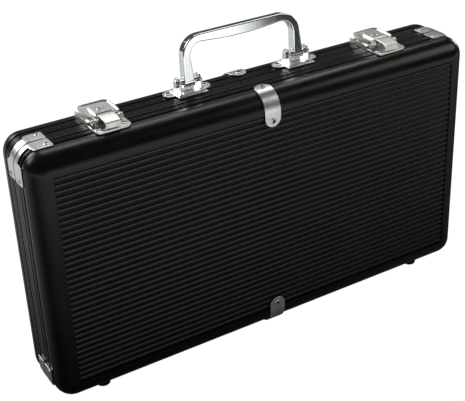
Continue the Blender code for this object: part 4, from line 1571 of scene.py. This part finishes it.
@dataclass
class Latch:
    """A draw latch: base plate, cover lever, claw, key plug and the strike on the lid.

    It is drawn about its middle, with Y from the middle plane and Z from the top of the case.
    Ears and cheeks are given by their inner and outer faces, the catch by its inner edge, its
    post and its outer edge, and the cam and the keyhole by their width, length and depth.
    """

    case: Case
    rivets: Rivets
    inset: float = 0.070
    seat: float = 0.0003
    sheet: float = 0.0012
    sink: float = 0.0002
    overrun: float = 0.002
    rounding: float = 0.0003
    steps: int = 10
    sides: int = 36
    strike_half: float = 0.014
    strike_front: float = 0.0205
    strike_rear: float = 0.0037
    strike_corner: float = 0.0035
    strike_rim: float = 0.0009
    strike_rounding: float = 0.00015
    strike_rivet: Point2 = (0.0105, 0.0145)
    strike_rivet_size: float = 0.9
    bead_from: float = 0.0172
    bead_width: float = 0.0012
    bead_height: float = 0.0006
    base_half: float = 0.0137
    base_front: float = 0.0029
    base_rear: float = 0.021
    base_corner: float = 0.003
    base_rivet: Point2 = (0.0065, 0.0145)
    rail_width: float = 0.0017
    rail_height: float = 0.0033
    ear: Point2 = (0.0106, 0.0122)
    ear_radius: float = 0.002
    ear_rear: float = 0.004
    pin: Point2 = (-0.008, 0.0048)
    pin_radius: float = 0.001
    pin_tip: float = 0.0003
    pin_gap: float = 0.0003
    pin_overhang: float = 0.0003
    catch: tuple[float, float, float] = (0.0042, 0.0062, 0.0072)
    catch_thickness: float = 0.0008
    catch_width: float = 0.003
    catch_gap: float = 0.0004
    cheek: Point2 = (0.009, 0.0103)
    cheek_radius: float = 0.0022
    cheek_rear: float = 0.0145
    cover_front: float = 0.0029
    cover_low: float = 0.0056
    cover_half: float = 0.0124
    cover_rear: float = 0.019
    cover_corner: float = 0.005
    cover_rounding: float = 0.00024
    rim_width: float = 0.0009
    rim_rise: float = 0.0009
    key_half: float = 0.0062
    key_front: float = 0.0034
    key_rear: float = 0.0112
    key_rise: float = 0.0015
    key_slope: float = 0.0007
    hook_half: float = 0.0059
    hook_pin: Point2 = (-0.0056, 0.0066)
    hook_pin_radius: float = 0.0007
    hook_eye: float = 0.0017
    hook_eye_arc: Point2 = (75, -140)
    hook_top: float = 0.0083
    hook_sheet: float = 0.0013
    hook_front: float = 0.0197
    hook_low: float = 0.00245
    hook_bend: float = 0.0012
    hook_bend_arc: Point2 = (180, 100)
    hook_step: float = 0.0009
    hook_rounding_steps: int = 3
    plug_radius: float = 0.0028
    plug_gap: float = 0.0001
    plug_y: float = 0.0038
    plug_rise: float = 0.0003
    cam_low: float = 0.0027
    cam: Point3 = (0.0026, 0.0055, 0.0011)
    keyhole: Point3 = (0.0009, 0.0036, 0.002)

    def place(self, end: End) -> Matrix:
        """The latch's middle at one end of the case."""
        return at(end.value * (self.case.half_x - self.inset), 0, self.case.top)

    def bore(self) -> Solid:
        """The cutter for the hole of the hinge pin."""
        radius = self.pin_radius + self.pin_gap
        return rod((0, *self.pin), (1, 0, 0), radius, self.base_half * THROUGH, self.sides)

    def strike(self, end: End) -> Solid:
        """The plate that the claw comes down on, with a raised rim and a bead.

        Args:
            end: The end of the case.

        Returns:
            The solid with its rivets.
        """
        top = self.seat + self.sheet
        outline = self.strike_outline(0)
        body = sheet(outline, self.seat, top)
        rim = sheet(outline, top - self.sink, top + self.sink)
        cut(rim, plate(self.strike_outline(self.strike_rim), self.overrun, at(0, 0, top)))
        join(body, rim)
        join(body, block(
            (-self.hook_half, -self.bead_from, top - self.sink),
            (self.hook_half, self.bead_width - self.bead_from, top + self.bead_height),
        ))
        round_edges(body, self.strike_rounding)
        x, y = self.strike_rivet
        self.rivets.fasten(body, [(-x, -y, top), (x, -y, top)], self.strike_rivet_size)
        return moved(body, self.place(end))

    def strike_outline(self, inset: float) -> list[Point2]:
        """The strike's outline.

        Args:
            inset: How far it is moved inwards.

        Returns:
            Its points.
        """
        half, corner = self.strike_half - inset, self.strike_corner - inset
        front = -self.strike_front + inset
        points = arc((half - corner, front + corner), corner, -90, 0, self.steps)
        points.append((half, -self.strike_rear + (self.overrun if inset else 0)))
        return mirrored(points)

    def base(self, end: End) -> Solid:
        """The plate with its rails, ears and catch.

        Args:
            end: The end of the case.

        Returns:
            The solid with its rivets.
        """
        top, half, corner = self.seat + self.sheet, self.base_half, self.base_corner
        low, high = -self.base_front, self.base_rear
        bend = arc((half - corner, high - corner), corner, 0, 90, self.steps)
        points = mirrored([(half, low), *bend])
        body = sheet(points, self.seat, top)
        wall = sheet(points, self.seat, self.rail_height)
        inner = half - self.rail_width
        cut(wall, block(
            (-inner, low - self.overrun, 0), (inner, high + self.overrun, self.rail_height * 2)
        ))
        join(body, wall)
        ear_low = self.pin[1] - self.ear_radius
        points = [
            (self.ear_rear, top - self.sink), (self.ear_rear, self.rail_height),
            *arc(self.pin, self.ear_radius, 90, 270, self.steps * 2),
            (low, ear_low), (low, top - self.sink),
        ]
        join_sides(body, points, *self.ear)
        cut(body, self.bore())
        inner_x, post_x, outer_x = self.catch
        roof = self.cam_low + self.cam[2] + self.catch_gap
        high_z = roof + self.catch_thickness
        low_y, high_y = self.plug_y - self.catch_width / 2, self.plug_y + self.catch_width / 2
        arm = block((-outer_x, low_y, roof), (-inner_x, high_y, high_z))
        post = block((-outer_x, low_y, top - self.sink), (-post_x, high_y, high_z))
        join(body, join(arm, post))
        round_edges(body, self.rounding)
        x, y = self.base_rivet
        self.rivets.fasten(body, [(-x, y, top), (x, y, top)])
        return moved(body, self.place(end))

    def hinge_pin(self, end: End) -> Solid:
        """The pin that the lever turns on."""
        half, place = self.ear[1] + self.pin_overhang, self.place(end) @ at(0, *self.pin)
        return round_pin(self.pin_radius, half, self.pin_tip, self.sides, place)

    def cover_outline(self, inset: float, front: float) -> list[Point2]:
        """The cover's outline from above.

        Args:
            inset: How far its sides and rear are moved inwards.
            front: Where its front edge lies.

        Returns:
            Its points.
        """
        half, corner = self.cover_half - inset, self.cover_corner - inset
        centre = (half - corner, self.cover_rear - inset - corner)
        return mirrored([(half, front), *arc(centre, corner, 0, 90, self.steps)])

    def lever(self, end: End) -> Solid:
        """The cover: a dished sheet with a rim, cheeks and a raised key plate.

        Args:
            end: The end of the case.

        Returns:
            The solid.
        """
        low, top, front = self.cover_low, self.cover_low + self.sheet, -self.cover_front
        outline, rise = self.cover_outline(0, front), self.rim_rise + self.sheet
        body, rim = sheet(outline, low, top), sheet(outline, low, low + rise)
        inside = self.cover_outline(self.rim_width, front - self.overrun)
        cut(rim, plate(inside, rise * THROUGH, at(0, 0, low)))
        join(body, rim)
        points = [
            *arc(self.pin, self.cheek_radius, 90, 270, self.steps * 2),
            (self.cheek_rear - self.cheek_radius, self.pin[1] - self.cheek_radius),
            (self.cheek_rear, self.pin[1]), (self.cheek_rear, top - self.sink),
            (front + self.sink, top - self.sink),
        ]
        join_sides(body, points, self.cheek[0], self.cheek[1] - self.sink)
        key_top, slope = top + self.key_rise, self.key_slope
        side_view = [
            (-self.key_front, top - self.sink), (-self.key_front, key_top - slope),
            (-self.key_front + slope, key_top), (self.key_rear - slope, key_top),
            (self.key_rear, top - self.sink),
        ]
        join(body, across(side_view, 2 * self.key_half))
        width = self.cheek[0] * 2 + self.sheet
        join(body, rod((0, *self.hook_pin), (1, 0, 0), self.hook_pin_radius, width, self.sides))
        radius = self.plug_radius + self.plug_gap
        plug_hole = rod((0, self.plug_y, low), (0, 0, 1), radius, self.cover_low * 2, self.sides)
        cut(body, plug_hole, self.bore())
        round_edges(body, self.cover_rounding)
        return moved(body, self.place(end))

    def hook(self, end: End) -> Solid:
        """The claw: an eye on the cross pin, a flat arm with a step and a turned-down tip.

        Args:
            end: The end of the case.

        Returns:
            The solid.
        """
        top, bend, front = self.hook_top, self.hook_bend, -self.hook_front
        under = top - self.hook_sheet
        y = self.hook_pin[0]
        centre = (front + bend, top - bend - self.hook_step)
        points = [
            *arc(centre, bend, *self.hook_bend_arc, self.steps),
            (y - self.hook_eye * 2, top),
            *arc(self.hook_pin, self.hook_eye, *self.hook_eye_arc, self.sides // 2),
            (y - self.hook_eye, under), (front + self.hook_sheet + bend, under - self.hook_step),
            (front + self.hook_sheet, self.hook_low), (front, self.hook_low),
        ]
        claw = across(points, 2 * self.hook_half)
        radius = self.hook_pin_radius + self.pin_gap
        width = self.hook_half * THROUGH
        cut(claw, rod((0, *self.hook_pin), (1, 0, 0), radius, width, self.sides))
        round_edges(claw, self.rounding, self.hook_rounding_steps)
        return moved(claw, self.place(end))

    def plug(self, end: End) -> Solid:
        """The key plug, with its keyhole on top and a cam below.

        Args:
            end: The end of the case.

        Returns:
            The solid.
        """
        low, tip, y = self.cam_low, self.rounding, self.plug_y
        top = self.cover_low + self.sheet + self.key_rise + self.plug_rise
        profile = [
            (0, low), (self.plug_radius, low), (self.plug_radius, top - tip),
            (self.plug_radius - tip, top), (0, top),
        ]
        plug = turned(profile, self.sides, at(0, y, 0))
        width, length, thickness = self.cam
        join(plug, block((-width / 2, y, low), (width / 2, y + length, low + thickness)))
        width, length, depth = self.keyhole
        cut(plug, block(
            (-width / 2, y - length / 2, top - depth),
            (width / 2, y + length / 2, top + self.overrun),
        ))
        return moved(plug, self.place(end))


# Handle


@dataclass
class Handle:
    """The carry handle on its two riveted brackets, drawn with Z from the top of the case.

    The ears are given by their inner and outer faces.
    """

    case: Case
    rivets: Rivets
    half_span: float = 0.0488
    pin: Point2 = (0.008, 0.009)
    lean: float = 8.0
    height: float = 0.0344
    thickness: float = 0.0082
    foot_half: float = 0.0044
    leg_half: float = 0.0031
    outer_bend: float = 0.0160
    inner_bend: float = 0.0100
    grip_end: float = 0.006
    grip_middle: float = 0.0080
    rounding: float = 0.0010
    rounding_steps: int = 6
    rounding_angle: float = 50
    eye_radius: float = 0.0043
    pin_radius: float = 0.002
    pin_gap: float = 0.0003
    head_radius: float = 0.0031
    head: float = 0.0012
    head_steps: int = 4
    seat: float = 0.0003
    sheet: float = 0.0011
    sink: float = 0.0002
    plate_half: float = 0.0125
    plate_front: float = 0.0006
    plate_rear: float = 0.018
    step_rise: float = 0.0011
    step_inset: float = 0.0013
    tongue_half: float = 0.020
    tongue_front: float = 0.0052
    tongue_rear: float = 0.0166
    tongue_rivet: float = 0.0158
    fillet: float = 0.0007
    fillet_steps: int = 3
    ear: Point2 = (0.008, 0.0095)
    ear_radius: float = 0.005
    ear_foot: float = 0.0062
    edge: float = 0.00028
    steps: int = 14
    sides: int = 40

    def outline(self) -> list[Point2]:
        """The handle in its own plane: X along the case and Y up from the pins.

        Returns:
            Its points: the outer line, then the inner one with the grip's belly.
        """
        centre = (self.half_span + self.leg_half - self.outer_bend, self.height - self.outer_bend)
        outer = [(self.half_span + self.foot_half, 0)]
        outer += arc(centre, self.outer_bend, 0, 90, self.steps)
        edge = self.half_span - self.leg_half - self.inner_bend
        under = self.height - self.grip_end
        bend = arc((edge, under - self.inner_bend), self.inner_bend, 0, 90, self.steps)
        inner = [(-self.half_span + self.foot_half, 0), *((-x, y) for x, y in bend)]
        belly = []
        for step in range(1, 2 * self.steps):
            share = step / self.steps - 1
            drop = (self.grip_middle - self.grip_end) * math.cos(share * math.pi / 2)
            belly.append((share * edge, under - drop))
        return [*mirrored(outer), *inner, *belly, *((-x, y) for x, y in reversed(inner))]

    def grip(self) -> Solid:
        """The cast handle, with an eye at each foot.

        Returns:
            The solid.
        """
        handle = plate(self.outline(), self.thickness, UPRIGHT)
        round_edges(handle, self.rounding, self.rounding_steps, self.rounding_angle)
        width = 2 * self.foot_half
        hole = self.pin_radius + self.pin_gap
        for end in (-1, 1):
            centre = (end * self.half_span, 0, 0)
            join(handle, rod(centre, (1, 0, 0), self.eye_radius, width, self.sides))
            cut(handle, rod(centre, (1, 0, 0), hole, 2 * width, self.sides))
        lean = Matrix.Rotation(math.radians(-self.lean), 4, "X")
        y, z = self.pin
        return moved(handle, at(0, y, self.case.top + z) @ lean)

    def bracket(self, end: End) -> Solid:
        """A stepped plate with a riveted tongue at each side and two ears.

        Args:
            end: The handle's end.

        Returns:
            The solid with its rivets.
        """
        top, half, fillet = self.seat + self.sheet, self.plate_half, self.fillet
        radius = (self.tongue_rear - self.tongue_front) / 2
        tongue_y = (self.tongue_front + self.tongue_rear) / 2
        low, high, turns = self.tongue_front - fillet, self.tongue_rear + fillet, self.fillet_steps
        points = [
            (half, -self.plate_front),
            *arc((half + fillet, low), fillet, 180, 90, turns),
            *arc((self.tongue_half - radius, tongue_y), radius, -90, 90, self.steps),
            *arc((half + fillet, high), fillet, -90, -180, turns),
            (half, self.plate_rear),
        ]
        body = sheet(mirrored(points), self.seat, top)
        inset = self.step_inset
        join(body, block(
            (-half + inset, -self.plate_front + inset, top - self.sink),
            (half - inset, self.plate_rear - inset, top + self.step_rise),
        ))
        y, foot = self.pin[0], top + self.step_rise - self.sink
        points = [
            (y - self.ear_foot, foot), (y + self.ear_foot, foot),
            *arc(self.pin, self.ear_radius, 0, 180, self.steps * 2),
        ]
        join_sides(body, points, *self.ear)
        hole = self.pin_radius + self.pin_gap
        cut(body, rod((0, *self.pin), (1, 0, 0), hole, self.ear[1] * THROUGH, self.sides))
        round_edges(body, self.edge)
        x = self.tongue_rivet
        self.rivets.fasten(body, [(-x, tongue_y, top), (x, tongue_y, top)])
        return moved(body, at(end.value * self.half_span, 0, self.case.top))

    def axle(self, end: End) -> Solid:
        """The headed pin through a bracket's ears.

        Args:
            end: The handle's end.

        Returns:
            The solid.
        """
        reach, head = self.ear[1] + self.seat, self.head / 2
        dome = arc((self.head_radius - head, reach + head), head, 90, 0, self.head_steps)
        shoulder = [(self.head_radius, reach), (self.pin_radius, reach)]
        profile = [(0, reach + self.head), *dome, *shoulder]
        profile += [(radius, -along) for radius, along in reversed(profile)]
        y, z = self.pin
        place = at(end.value * self.half_span, y, self.case.top + z) @ LYING
        return turned(profile, self.sides, place)


# The studio


@dataclass
class Studio:
    """A pale floor, soft lamps and the camera at the photograph's place.

    In mirrors the floor glows with painted reflections and painted shade: it is dark, as painted
    shade near the case, and bright beyond each of the painted reflection ramps: a direction, the
    two distances between which it brightens, and its brightness past them. Where it lies beyond
    both fades of the painted shade patches, it is dark again, as painted shade.
    """

    floor_size: float = 9.0
    floor_colour: float = 0.93
    floor_glow: float = 0.86
    floor_white: float = 1.16
    # Painted shade: how bright the floor looks in mirrors near the case.
    shade_shine: float = 0.03
    # Painted reflections: where and how brightly the floor glows in mirrors.
    ramps: tuple[tuple[Point3, Point2, float], ...] = (
        ((0.1, -0.99, 0), (0.02, 0.26), 0.36),
        ((-0.1, -0.99, 0), (0.33, 0.35), 1.0),
        ((-0.35, 0.94, 0), (0.04, 0.45), 0.66),
    )
    # Painted shade: the parts of the floor that are dark again in mirrors.
    unlit: tuple[tuple[Point3, Point2], ...] = (
        ((0.87, 0.5, 0), (-0.025, 0.045)),
        ((0, -1, 0), (1.0, 1.2)),
    )
    # Painted shade: the floor's brightness in mirrors inside that dark part.
    unlit_shine: float = 0.04
    world: float = 0.08
    eye: Point3 = (-0.39159, -0.65027, 0.53639)
    yaw: float = -30.33
    pitch: float = 28.65
    roll: float = -2.34
    focal: float = 1068.9
    centre: Point2 = (240.69, 184.65)
    frame_size: Point2 = (465.0, 401.0)
    sensor: float = 36.0
    aim: Point3 = (0.0, 0.0, 0.12)
    lamps: tuple[tuple[str, Point3, Point2, float], ...] = (
        ("overhead", (0.72, 1.1, 1.75), (1.4, 1.0), 12.0),
        ("front_low", (0.3, -1.75, 0.22), (1.2, 0.4), 1.2),
        ("front_right", (1.7, -0.95, 1.5), (1.1, 1.0), 8.0),
        ("rear_left", (-1.15, 1.6, 1.5), (1.8, 1.0), 34.0),
        ("right", (2.0, 0.75, 0.4), (0.5, 0.5), 6.0),
    )

    def build(self) -> None:
        """Set up the floor, the lamps, the world and the camera."""
        self.lay_floor()
        for name, place, size, power in self.lamps:
            self.hang(name, place, size, power)
        world = bpy.data.worlds.new("studio")
        world.use_nodes = True
        world.node_tree.nodes["Background"].inputs["Color"].default_value = (1, 1, 1, 1)
        world.node_tree.nodes["Background"].inputs["Strength"].default_value = self.world
        bpy.context.scene.world = world
        bpy.context.scene.view_settings.view_transform = "Standard"
        self.set_camera()

    def lay_floor(self) -> None:
        """Lay a square floor at the foot of the case."""
        half = self.floor_size / 2
        mesh = bpy.data.meshes.new("floor")
        corners = [(-half, -half, 0), (half, -half, 0), (half, half, 0), (-half, half, 0)]
        mesh.from_pydata(corners, [], [(0, 1, 2, 3)])
        mesh.materials.append(self.floor_finish())
        linked("floor", mesh)

    def floor_finish(self) -> Finish:
        """A finish that looks white to the eye and keeps the shadow, and glows in mirrors with
        painted reflections and painted shade.

        Returns:
            The material.
        """
        board = NodeBoard("floor")
        board.tree.nodes.remove(board.surface)
        # The floor's glow in mirrors is a painted reflection, held dark as painted shade near the
        # case.
        painted_reflection, *others = [
            board.ramp(way, fade, (self.shade_shine, peak)) for way, fade, peak in self.ramps
        ]
        for other in others:
            painted_reflection = board.reckon("Math", "MAXIMUM", painted_reflection, other)
        # Painted shade: the floor turns dark again in mirrors beyond both fades.
        painted_shade_fades = [board.ramp(way, fade, (1, 0)) for way, fade in self.unlit]
        painted_shade_factor = board.span(board.reckon("Math", "MAXIMUM", *painted_shade_fades), (0, 1), (self.unlit_shine, 1))
        painted_reflection = board.reckon("Math", "MULTIPLY", painted_reflection, painted_shade_factor)
        rays = board.node("LightPath").outputs
        seen = board.reckon("Math", "MULTIPLY", rays["Is Camera Ray"], self.floor_glow)
        mirrors = board.reckon(
            "Math", "MAXIMUM", rays["Is Glossy Ray"], rays["Is Transmission Ray"]
        )
        surface = board.node("BsdfDiffuse", Color=(self.floor_colour,) * 3 + (1,)).outputs["BSDF"]
        # The camera sees an evenly white floor; mirrors see the painted reflection and painted
        # shade.
        for share, strength in ((seen, self.floor_white), (mirrors, painted_reflection)):
            mix = board.node("MixShader")
            glow = board.node("Emission", Strength=strength).outputs["Emission"]
            for target, value in zip(mix.inputs, (share, surface, glow)):
                board.feed(target, value)
            surface = mix.outputs["Shader"]
        board.fill(board.tree.nodes["Material Output"], Surface=surface)
        return board.material

    def hang(self, name: str, place: Point3, size: Point2, power: float) -> None:
        """Hang a soft rectangular lamp that faces the case.

        Args:
            name: The lamp's name.
            place: Where it hangs.
            size: Its width and height.
            power: Its power in watts.
        """
        lamp = bpy.data.lights.new(name, "AREA")
        lamp.shape = "RECTANGLE"
        lamp.size, lamp.size_y = size
        lamp.energy = power
        way = Vector(self.aim) - Vector(place)
        turn = way.to_track_quat("-Z", "Y").to_matrix().to_4x4()
        linked(name, lamp).matrix_world = Matrix.Translation(place) @ turn

    def set_camera(self) -> None:
        """Place the camera as the photograph's perspective asks."""
        yaw, pitch, roll = (math.radians(angle) for angle in (self.yaw, self.pitch, self.roll))
        forward = Vector((
            math.sin(-yaw) * math.cos(pitch), math.cos(yaw) * math.cos(pitch), -math.sin(pitch)
        ))
        level = forward.cross(Vector((0, 0, 1))).normalized()
        upward = level.cross(forward)
        right = level * math.cos(roll) + upward * math.sin(roll)
        above = upward * math.cos(roll) - level * math.sin(roll)
        width, height = self.frame_size
        data = bpy.data.cameras.new("photograph")
        data.sensor_width = self.sensor
        data.lens = self.focal * self.sensor / width
        data.shift_x = (width / 2 - self.centre[0]) / width
        data.shift_y = (self.centre[1] - height / 2) / width
        camera = linked("photograph", data)
        turn = Matrix((right, above, -forward)).transposed().to_4x4()
        camera.matrix_world = Matrix.Translation(self.eye) @ turn
        bpy.context.scene.camera = camera


def build_case(case: Case, rivets: Rivets, nickel: Finish) -> None:
    """Build the frames, bands, panels, straps, corners and feet of both halves.

    Args:
        case: The case's sizes.
        rivets: The rivets.
        nickel: The fittings' finish.
    """
    coat = BlackCoat("black_trim_coat", (1.0, 0.94, 0.88)).build()
    panel_coat = BlackCoat(
        "black_panel_coat", (0.90, 0.94, 1.0), colour=(0.0034, 0.0036, 0.0042),
        worn=(0.0052, 0.0054, 0.0060), roughness=(0.24, 0.30), gloss=0.45,
    ).build()
    rubber = Rubber("black_rubber").build()
    edge, band, foot = EdgeFrame(case), SideBand(case), Foot(case)
    strap, corner = EdgeStrap(case, rivets), CornerBracket(case, rivets)
    panel = RibbedPanel(case, RowTree(), panel_coat)
    for half in Half:
        body = half.word
        hand_in(panel.build(half), f"{body}_panel", body, panel_coat)
        for end in End:
            word = end.word
            hand_in(edge.build(half, end), f"{body}_frame_{word}", body, coat)
            hand_in(band.bent(half, end), f"{body}_band_{word}", body, coat)
            hand_in(foot.build(half, end), f"{body}_foot_{word}", body, rubber)
        for level in Level:
            word = level.word
            hand_in(band.straight(half, level), f"{body}_band_{word}", body, coat)
            hand_in(strap.build(half, level), f"{body}_strap_{word}", body, nickel)
            for end in End:
                name = f"{body}_corner_{word}_{end.word}"
                hand_in(corner.build(half, level, end), name, body, nickel)


def build_fittings(case: Case, rivets: Rivets, nickel: Finish, chrome: Finish) -> None:
    """Build the hinges, latches, handle and its brackets.

    Args:
        case: The case's sizes.
        rivets: The rivets.
        nickel: The fittings' finish.
        chrome: The handle's finish.
    """
    hinge, latch, handle = Hinge(case, rivets), Latch(case, rivets), Handle(case, rivets)
    for end in End:
        word = end.word
        for half in Half:
            body = half.word
            hand_in(hinge.leaf(half, end), f"hinge_leaf_{body}_{word}", body, nickel)
        hand_in(hinge.shaft(end), f"hinge_pin_{word}", "base", nickel)
        hand_in(latch.strike(end), f"strike_{word}", "lid", nickel)
        hand_in(latch.base(end), f"latch_base_{word}", "base", nickel)
        hand_in(latch.hinge_pin(end), f"latch_pin_{word}", "base", chrome)
        hand_in(latch.lever(end), f"latch_lever_{word}", f"lever_{word}", nickel)
        hand_in(latch.hook(end), f"latch_hook_{word}", f"hook_{word}", nickel)
        hand_in(latch.plug(end), f"latch_plug_{word}", f"plug_{word}", nickel)
        hand_in(handle.bracket(end), f"handle_bracket_{word}", "base", nickel)
        hand_in(handle.axle(end), f"handle_pin_{word}", "base", nickel)
    hand_in(handle.grip(), "handle", "handle", chrome)


def build_interior(case: Case) -> None:
    """Build the lining and the trays.

    Args:
        case: The case's sizes.
    """
    flock = Flock("black_flock").build()
    interior = Interior(case)
    hand_in(interior.lining(), "lid_lining", "lid", flock)
    hand_in(interior.middle_tray(), "tray_middle", "base", flock)
    for end in End:
        hand_in(interior.chip_tray(end), f"tray_{end.word}", "base", flock)


def main() -> None:
    """Build the case, its fittings and the studio, and note the size of what was built."""
    logging.basicConfig(level=logging.INFO, format="%(message)s")
    nickel = BrightPlate("nickel_plate").build()
    chrome = BrightPlate(
        "chrome_plate", colour=(0.83, 0.86, 0.87), dull=(0.76, 0.79, 0.81),
        roughness=(0.05, 0.09), wave_height=0.000003,
    ).build()
    case = Case()
    rivets = Rivets(nickel)
    build_case(case, rivets, nickel)
    build_fittings(case, rivets, nickel, chrome)
    build_interior(case)
    rivets.clear()
    Studio().build()


if __name__ == "__main__":
    main()
